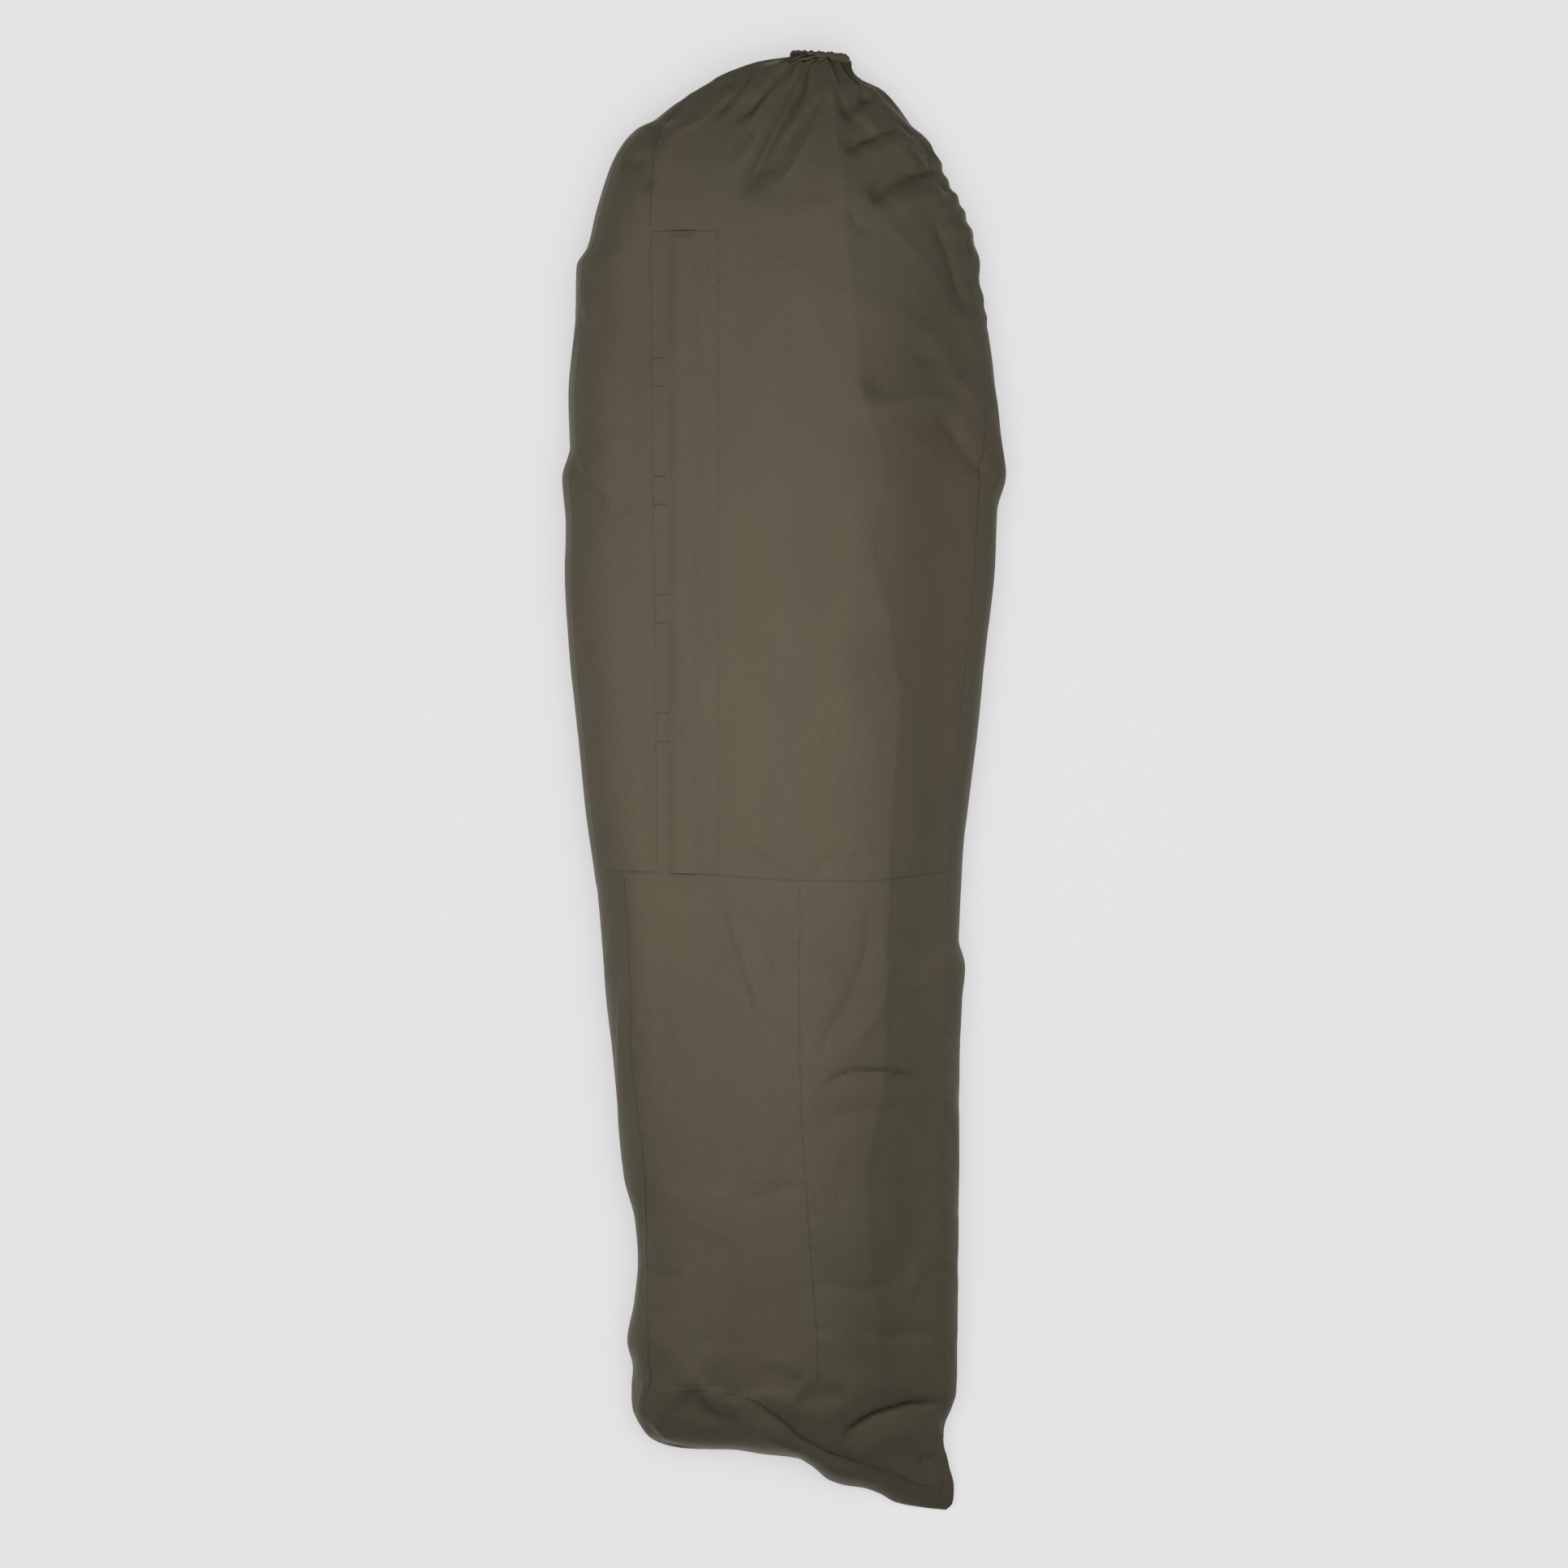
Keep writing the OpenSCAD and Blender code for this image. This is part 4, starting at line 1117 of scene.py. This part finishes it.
# ---------------------------------------------------------------- zip coils
coil_lo, coil_hi = cad_corners("zip_coil_left")
ZIP_TILT = math.atan(2 * CROWN_FALL * (RIDGE_X - ZIP_X))
ZIP_POINT = np.array([ZIP_X, 0, float(crown(ZIP_X))])
ZIP_ACROSS = np.array([math.cos(ZIP_TILT), 0, math.sin(ZIP_TILT)])
ZIP_OUT = np.array([-math.sin(ZIP_TILT), 0, math.cos(ZIP_TILT)])
TOOTH_PITCH = 1.6


def on_zip(across, out, y):
    """A point by the zip: across its tape, out from it, and along it."""
    return ZIP_POINT + ZIP_ACROSS * across + ZIP_OUT * out + np.array([0, y, 0])


def coil(side):
    """One row of the zip's coil: a loop of wire for each tooth, leaning into the other row."""
    profile = [(-0.55 * side, 0.55), (0.5 * side, 0.1), (3.0 * side, 0.0), (3.4 * side, 1.1),
               (2.7 * side, 2.3), (0.6 * side, 2.2)]
    parts = []
    start = coil_lo[1] + (0.5 * TOOTH_PITCH if side > 0 else 0)
    for y in np.arange(start, coil_hi[1] - 0.8, TOOTH_PITCH):
        ends = [np.array([on_zip(u, w - 3.3, y + v) for u, w in profile]) for v in (0, 0.75)]
        faces = [[k, (k + 1) % 6, (k + 1) % 6 + 6, k + 6] for k in range(6)]
        parts.append((np.concatenate(ends), faces + [[5, 4, 3, 2, 1, 0], [6, 7, 8, 9, 10, 11]]))
    return gathered(parts)


def slot_edge(side):
    """The cloth's folded edge along one side of the zip, rounded where it turns under."""
    profile = [(6.6, -0.5), (6.75, 0.2), (7.3, 0.45), (9.5, 0.5),
               (12.4, 0.35), (13.4, 0.05), (13.2, -0.5), (7.0, -0.8)]
    ys = np.linspace(SLOT_ENDS[0] - 6, SLOT_ENDS[1] + 5, 140)
    rings = []
    for y in ys:
        puff = 0.12 * math.sin(y / 6.1) + 0.1 * math.sin(y / 15.7 + side)
        rings.append([on_zip(side * u, w + puff * (w > 0), y) for u, w in profile[::side]])
    return np.array(rings).reshape(-1, 3), tube_faces(len(ys), len(profile))


add_piece("zip_slot_edges", gathered([slot_edge(-1), slot_edge(1)]), shell_cloth)

coil_nylon = speckled("coil_nylon", 0.02, srgb(26, 26, 24), srgb(40, 39, 36), 0.35)
for side_name, side in (("left", -1), ("right", 1)):
    add_piece("zip_teeth_" + side_name, coil(side), coil_nylon,
              replaces=("zip_coil_" + side_name,), smooth_shaded=False)


# ---------------------------------------------------------------- gathered hem of the mouth
hem_lo, hem_hi = cad_corners("hood_hem")
HEM_CENTRE = (hem_lo + hem_hi) / 2
HEM_R = (hem_hi[1] - hem_lo[1]) / 2
RING_R = (hem_hi[0] - hem_lo[0]) / 2 - HEM_R


def hem():
    """The bunched hem: a ring whose outside is drawn into uneven pleats."""
    n_turn, n_round = 300, 26
    turn, bend = np.meshgrid(np.linspace(0, 2 * math.pi, n_turn, endpoint=False),
                             np.linspace(0, 2 * math.pi, n_round, endpoint=False), indexing="ij")
    pleat = (0.6 * np.cos(17 * turn + 1.5 * np.sin(3 * turn))
             + 0.4 * np.cos(29 * turn + 2 * np.sin(5 * turn) + bend))
    outside = smooth((np.cos(bend) + 1.2) / 1.6)
    radius = HEM_R * (0.86 + 0.17 * pleat * outside)
    reach = RING_R + radius * np.cos(bend)
    x = HEM_CENTRE[0] + reach * np.cos(turn)
    z = HEM_CENTRE[2] + reach * np.sin(turn)
    y = (HEM_CENTRE[1] + radius * 1.05 * np.sin(bend) + 0.8 * np.sin(2 * turn + 1)
         - 0.075 * (x - HEM_CENTRE[0]))
    faces = []
    for i in range(n_turn):
        here, ahead = i * n_round, (i + 1) % n_turn * n_round
        for j in range(n_round):
            k = (j + 1) % n_round
            faces.append([here + j, here + k, ahead + k, ahead + j])
    return np.stack([x, y, z], -1).reshape(-1, 3), faces


add_piece("gathered_hem", hem(), shell_cloth, replaces=("hood_hem",), sharp=80)


# ---------------------------------------------------------------- finishes of the carried-over CAD pieces
GRAIN = 0.004
GRAIN_DEPTH = 0.00008


def plain_finish(name, dark, light, roughness, metallic=0.0):
    """Plastic or metal, lightly worn."""
    n = Nodes(name)
    n.link(n.ramp(n.noise(GRAIN * 4, 4), [(0.35, dark), (0.65, light)]), n.shader, "Base Color")
    n.shader.inputs["Metallic"].default_value = metallic
    worn = n.ramp(n.noise(GRAIN * 2, 4), [(0.3, grey(roughness - 0.08)), (0.7, grey(roughness + 0.1))])
    n.link(worn, n.shader, "Roughness")
    n.link(n.bump(n.noise(GRAIN, 3), GRAIN_DEPTH, 0.6), n.shader, "Normal")
    return n.material


def webbing(name, dark, light, pitch):
    n = Nodes(name)
    n.link(n.ramp(n.noise(0.01, 3), [(0.3, dark), (0.7, light)]), n.shader, "Base Color")
    n.shader.inputs["Roughness"].default_value = 0.8
    n.link(n.bump(n.weave(pitch), 0.00025, 0.9), n.shader, "Normal")
    return n.material


zip_tape_cloth = webbing("zip_tape_weave", srgb(24, 24, 22), srgb(36, 35, 32), 0.0007)
lacquer = plain_finish("slider_lacquer", srgb(34, 33, 31), srgb(48, 46, 42), 0.4, 0.6)
moulded = plain_finish("moulded_plastic", srgb(28, 28, 26), srgb(38, 37, 34), 0.5)
plated = plain_finish("eyelet_plating", srgb(92, 88, 78), srgb(120, 116, 104), 0.35, 0.9)
steel = plain_finish("spring_wire", srgb(150, 150, 148), srgb(176, 176, 172), 0.3, 1.0)
braid = webbing("cord_braid", srgb(26, 26, 22), srgb(44, 43, 36), 0.0012)
FINISHES = {
    "zip_tape_left": zip_tape_cloth, "zip_tape_right": zip_tape_cloth,
    "zip_top_stop": moulded, "zip_bottom_stop": moulded,
    "zip_slider": lacquer, "outer_pull": lacquer, "inner_pull": lacquer,
    "cord_lock_barrel": moulded, "cord_lock_button": moulded,
    "eyelets": plated, "drawcord": braid,
}
for node_name, finish in FINISHES.items():
    CAD[node_name].data.materials.clear()
    CAD[node_name].data.materials.append(finish)

# The lock's spring is wound here, because it shortens as the button goes in
WIRE_RADIUS = 0.4
SPRING_TURNS = 5
SPRING_STEPS = 24 * SPRING_TURNS
WIRE_SIDES = 10
spring_lo, spring_hi = cad_corners("cord_lock_spring")


def lock_spring():
    """A helix of round wire inside the CAD spring's box, wound along Y."""
    radius = (spring_hi[0] - spring_lo[0]) / 2 - WIRE_RADIUS
    middle = (spring_lo + spring_hi) / 2
    turn = np.linspace(0, 2 * math.pi * SPRING_TURNS, SPRING_STEPS)
    out = np.stack([np.cos(turn), np.zeros_like(turn), np.sin(turn)], axis=-1)
    line = middle + out * radius
    line[:, 1] = np.linspace(spring_lo[1] + WIRE_RADIUS, spring_hi[1] - WIRE_RADIUS, SPRING_STEPS)
    around = np.linspace(0, 2 * math.pi, WIRE_SIDES, endpoint=False)[None, :, None]
    outward = np.cos(around) * out[:, None] - np.sin(around) * np.array([0, 1, 0])
    rings = line[:, None] + WIRE_RADIUS * outward
    return rings.reshape(-1, 3), tube_faces(SPRING_STEPS, WIRE_SIDES)


spring = add_piece("lock_spring_coil", lock_spring(), steel,
                   replaces=("cord_lock_spring",), sharp=80)
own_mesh(spring)


# ---------------------------------------------------------------- stage, light and camera
FLOOR_REACH = 9
FLOOR_LEVEL = -0.0005
floor_corners = [(FLOOR_REACH * x, FLOOR_REACH * y, FLOOR_LEVEL)
                 for x, y in ((-1, -1), (1, -1), (1, 1), (-1, 1))]
floor_mesh = bpy.data.meshes.new("floor")
floor_mesh.from_pydata(floor_corners, [], [(0, 1, 2, 3)])
floor = bpy.data.objects.new("floor", floor_mesh)
bpy.context.scene.collection.objects.link(floor)
floor_paint = Nodes("floor_paint")
floor_paint.shader.inputs["Base Color"].default_value = srgb(238, 238, 238)
floor_paint.shader.inputs["Roughness"].default_value = 0.95
floor_paint.shader.inputs["Specular IOR Level"].default_value = 0.1
floor.data.materials.append(floor_paint.material)
# The floor throws no light back on the cloth
floor.visible_diffuse = False


def area_light(name, place, target, size, power):
    """A round white lamp at place, facing target."""
    data = bpy.data.lights.new(name, "AREA")
    data.shape = "DISK"
    data.size = size
    data.energy = power
    obj = bpy.data.objects.new(name, data)
    obj.location = place
    aim = np.array(target) - np.array(place)
    obj.rotation_euler = Vector(aim.tolist()).to_track_quat("-Z", "Y").to_euler()
    obj.visible_camera = False
    bpy.context.scene.collection.objects.link(obj)
    return obj


def only_for(light, objects, state):
    """Lights just those objects, or with state EXCLUDE all but them."""
    group = bpy.data.collections.new(light.name + "_on")
    for obj in objects:
        group.objects.link(obj)
    light.light_linking.receiver_collection = group
    for member in group.collection_objects:
        member.light_linking.link_state = state


key = area_light("key", (-0.14, 0.09, 2.0), (0.0, 0.09, 0.2), 0.9, 34)
only_for(key, [floor], "EXCLUDE")
wash = area_light("floor_wash", (0.0, 0.0, 6.0), (0.0, 0.0, 0.0), 6.0, 1560)
only_for(wash, [floor], "INCLUDE")

world = bpy.data.worlds.new("studio")
bpy.context.scene.world = world
world.use_nodes = True
world.node_tree.nodes["Background"].inputs["Color"].default_value = (1, 1, 1, 1)
world.node_tree.nodes["Background"].inputs["Strength"].default_value = 0.335

LENS = 150
SENSOR = 36
VIEW_WIDTH = 2.474
VIEW_LEVEL = 0.06
camera_data = bpy.data.cameras.new("camera")
camera_data.lens = LENS
camera_data.sensor_width = SENSOR
camera_data.dof.use_dof = False
camera = bpy.data.objects.new("camera", camera_data)
camera.location = (0.0, 0.0, VIEW_LEVEL + VIEW_WIDTH * LENS / SENSOR)
bpy.context.scene.collection.objects.link(camera)
bpy.context.scene.camera = camera
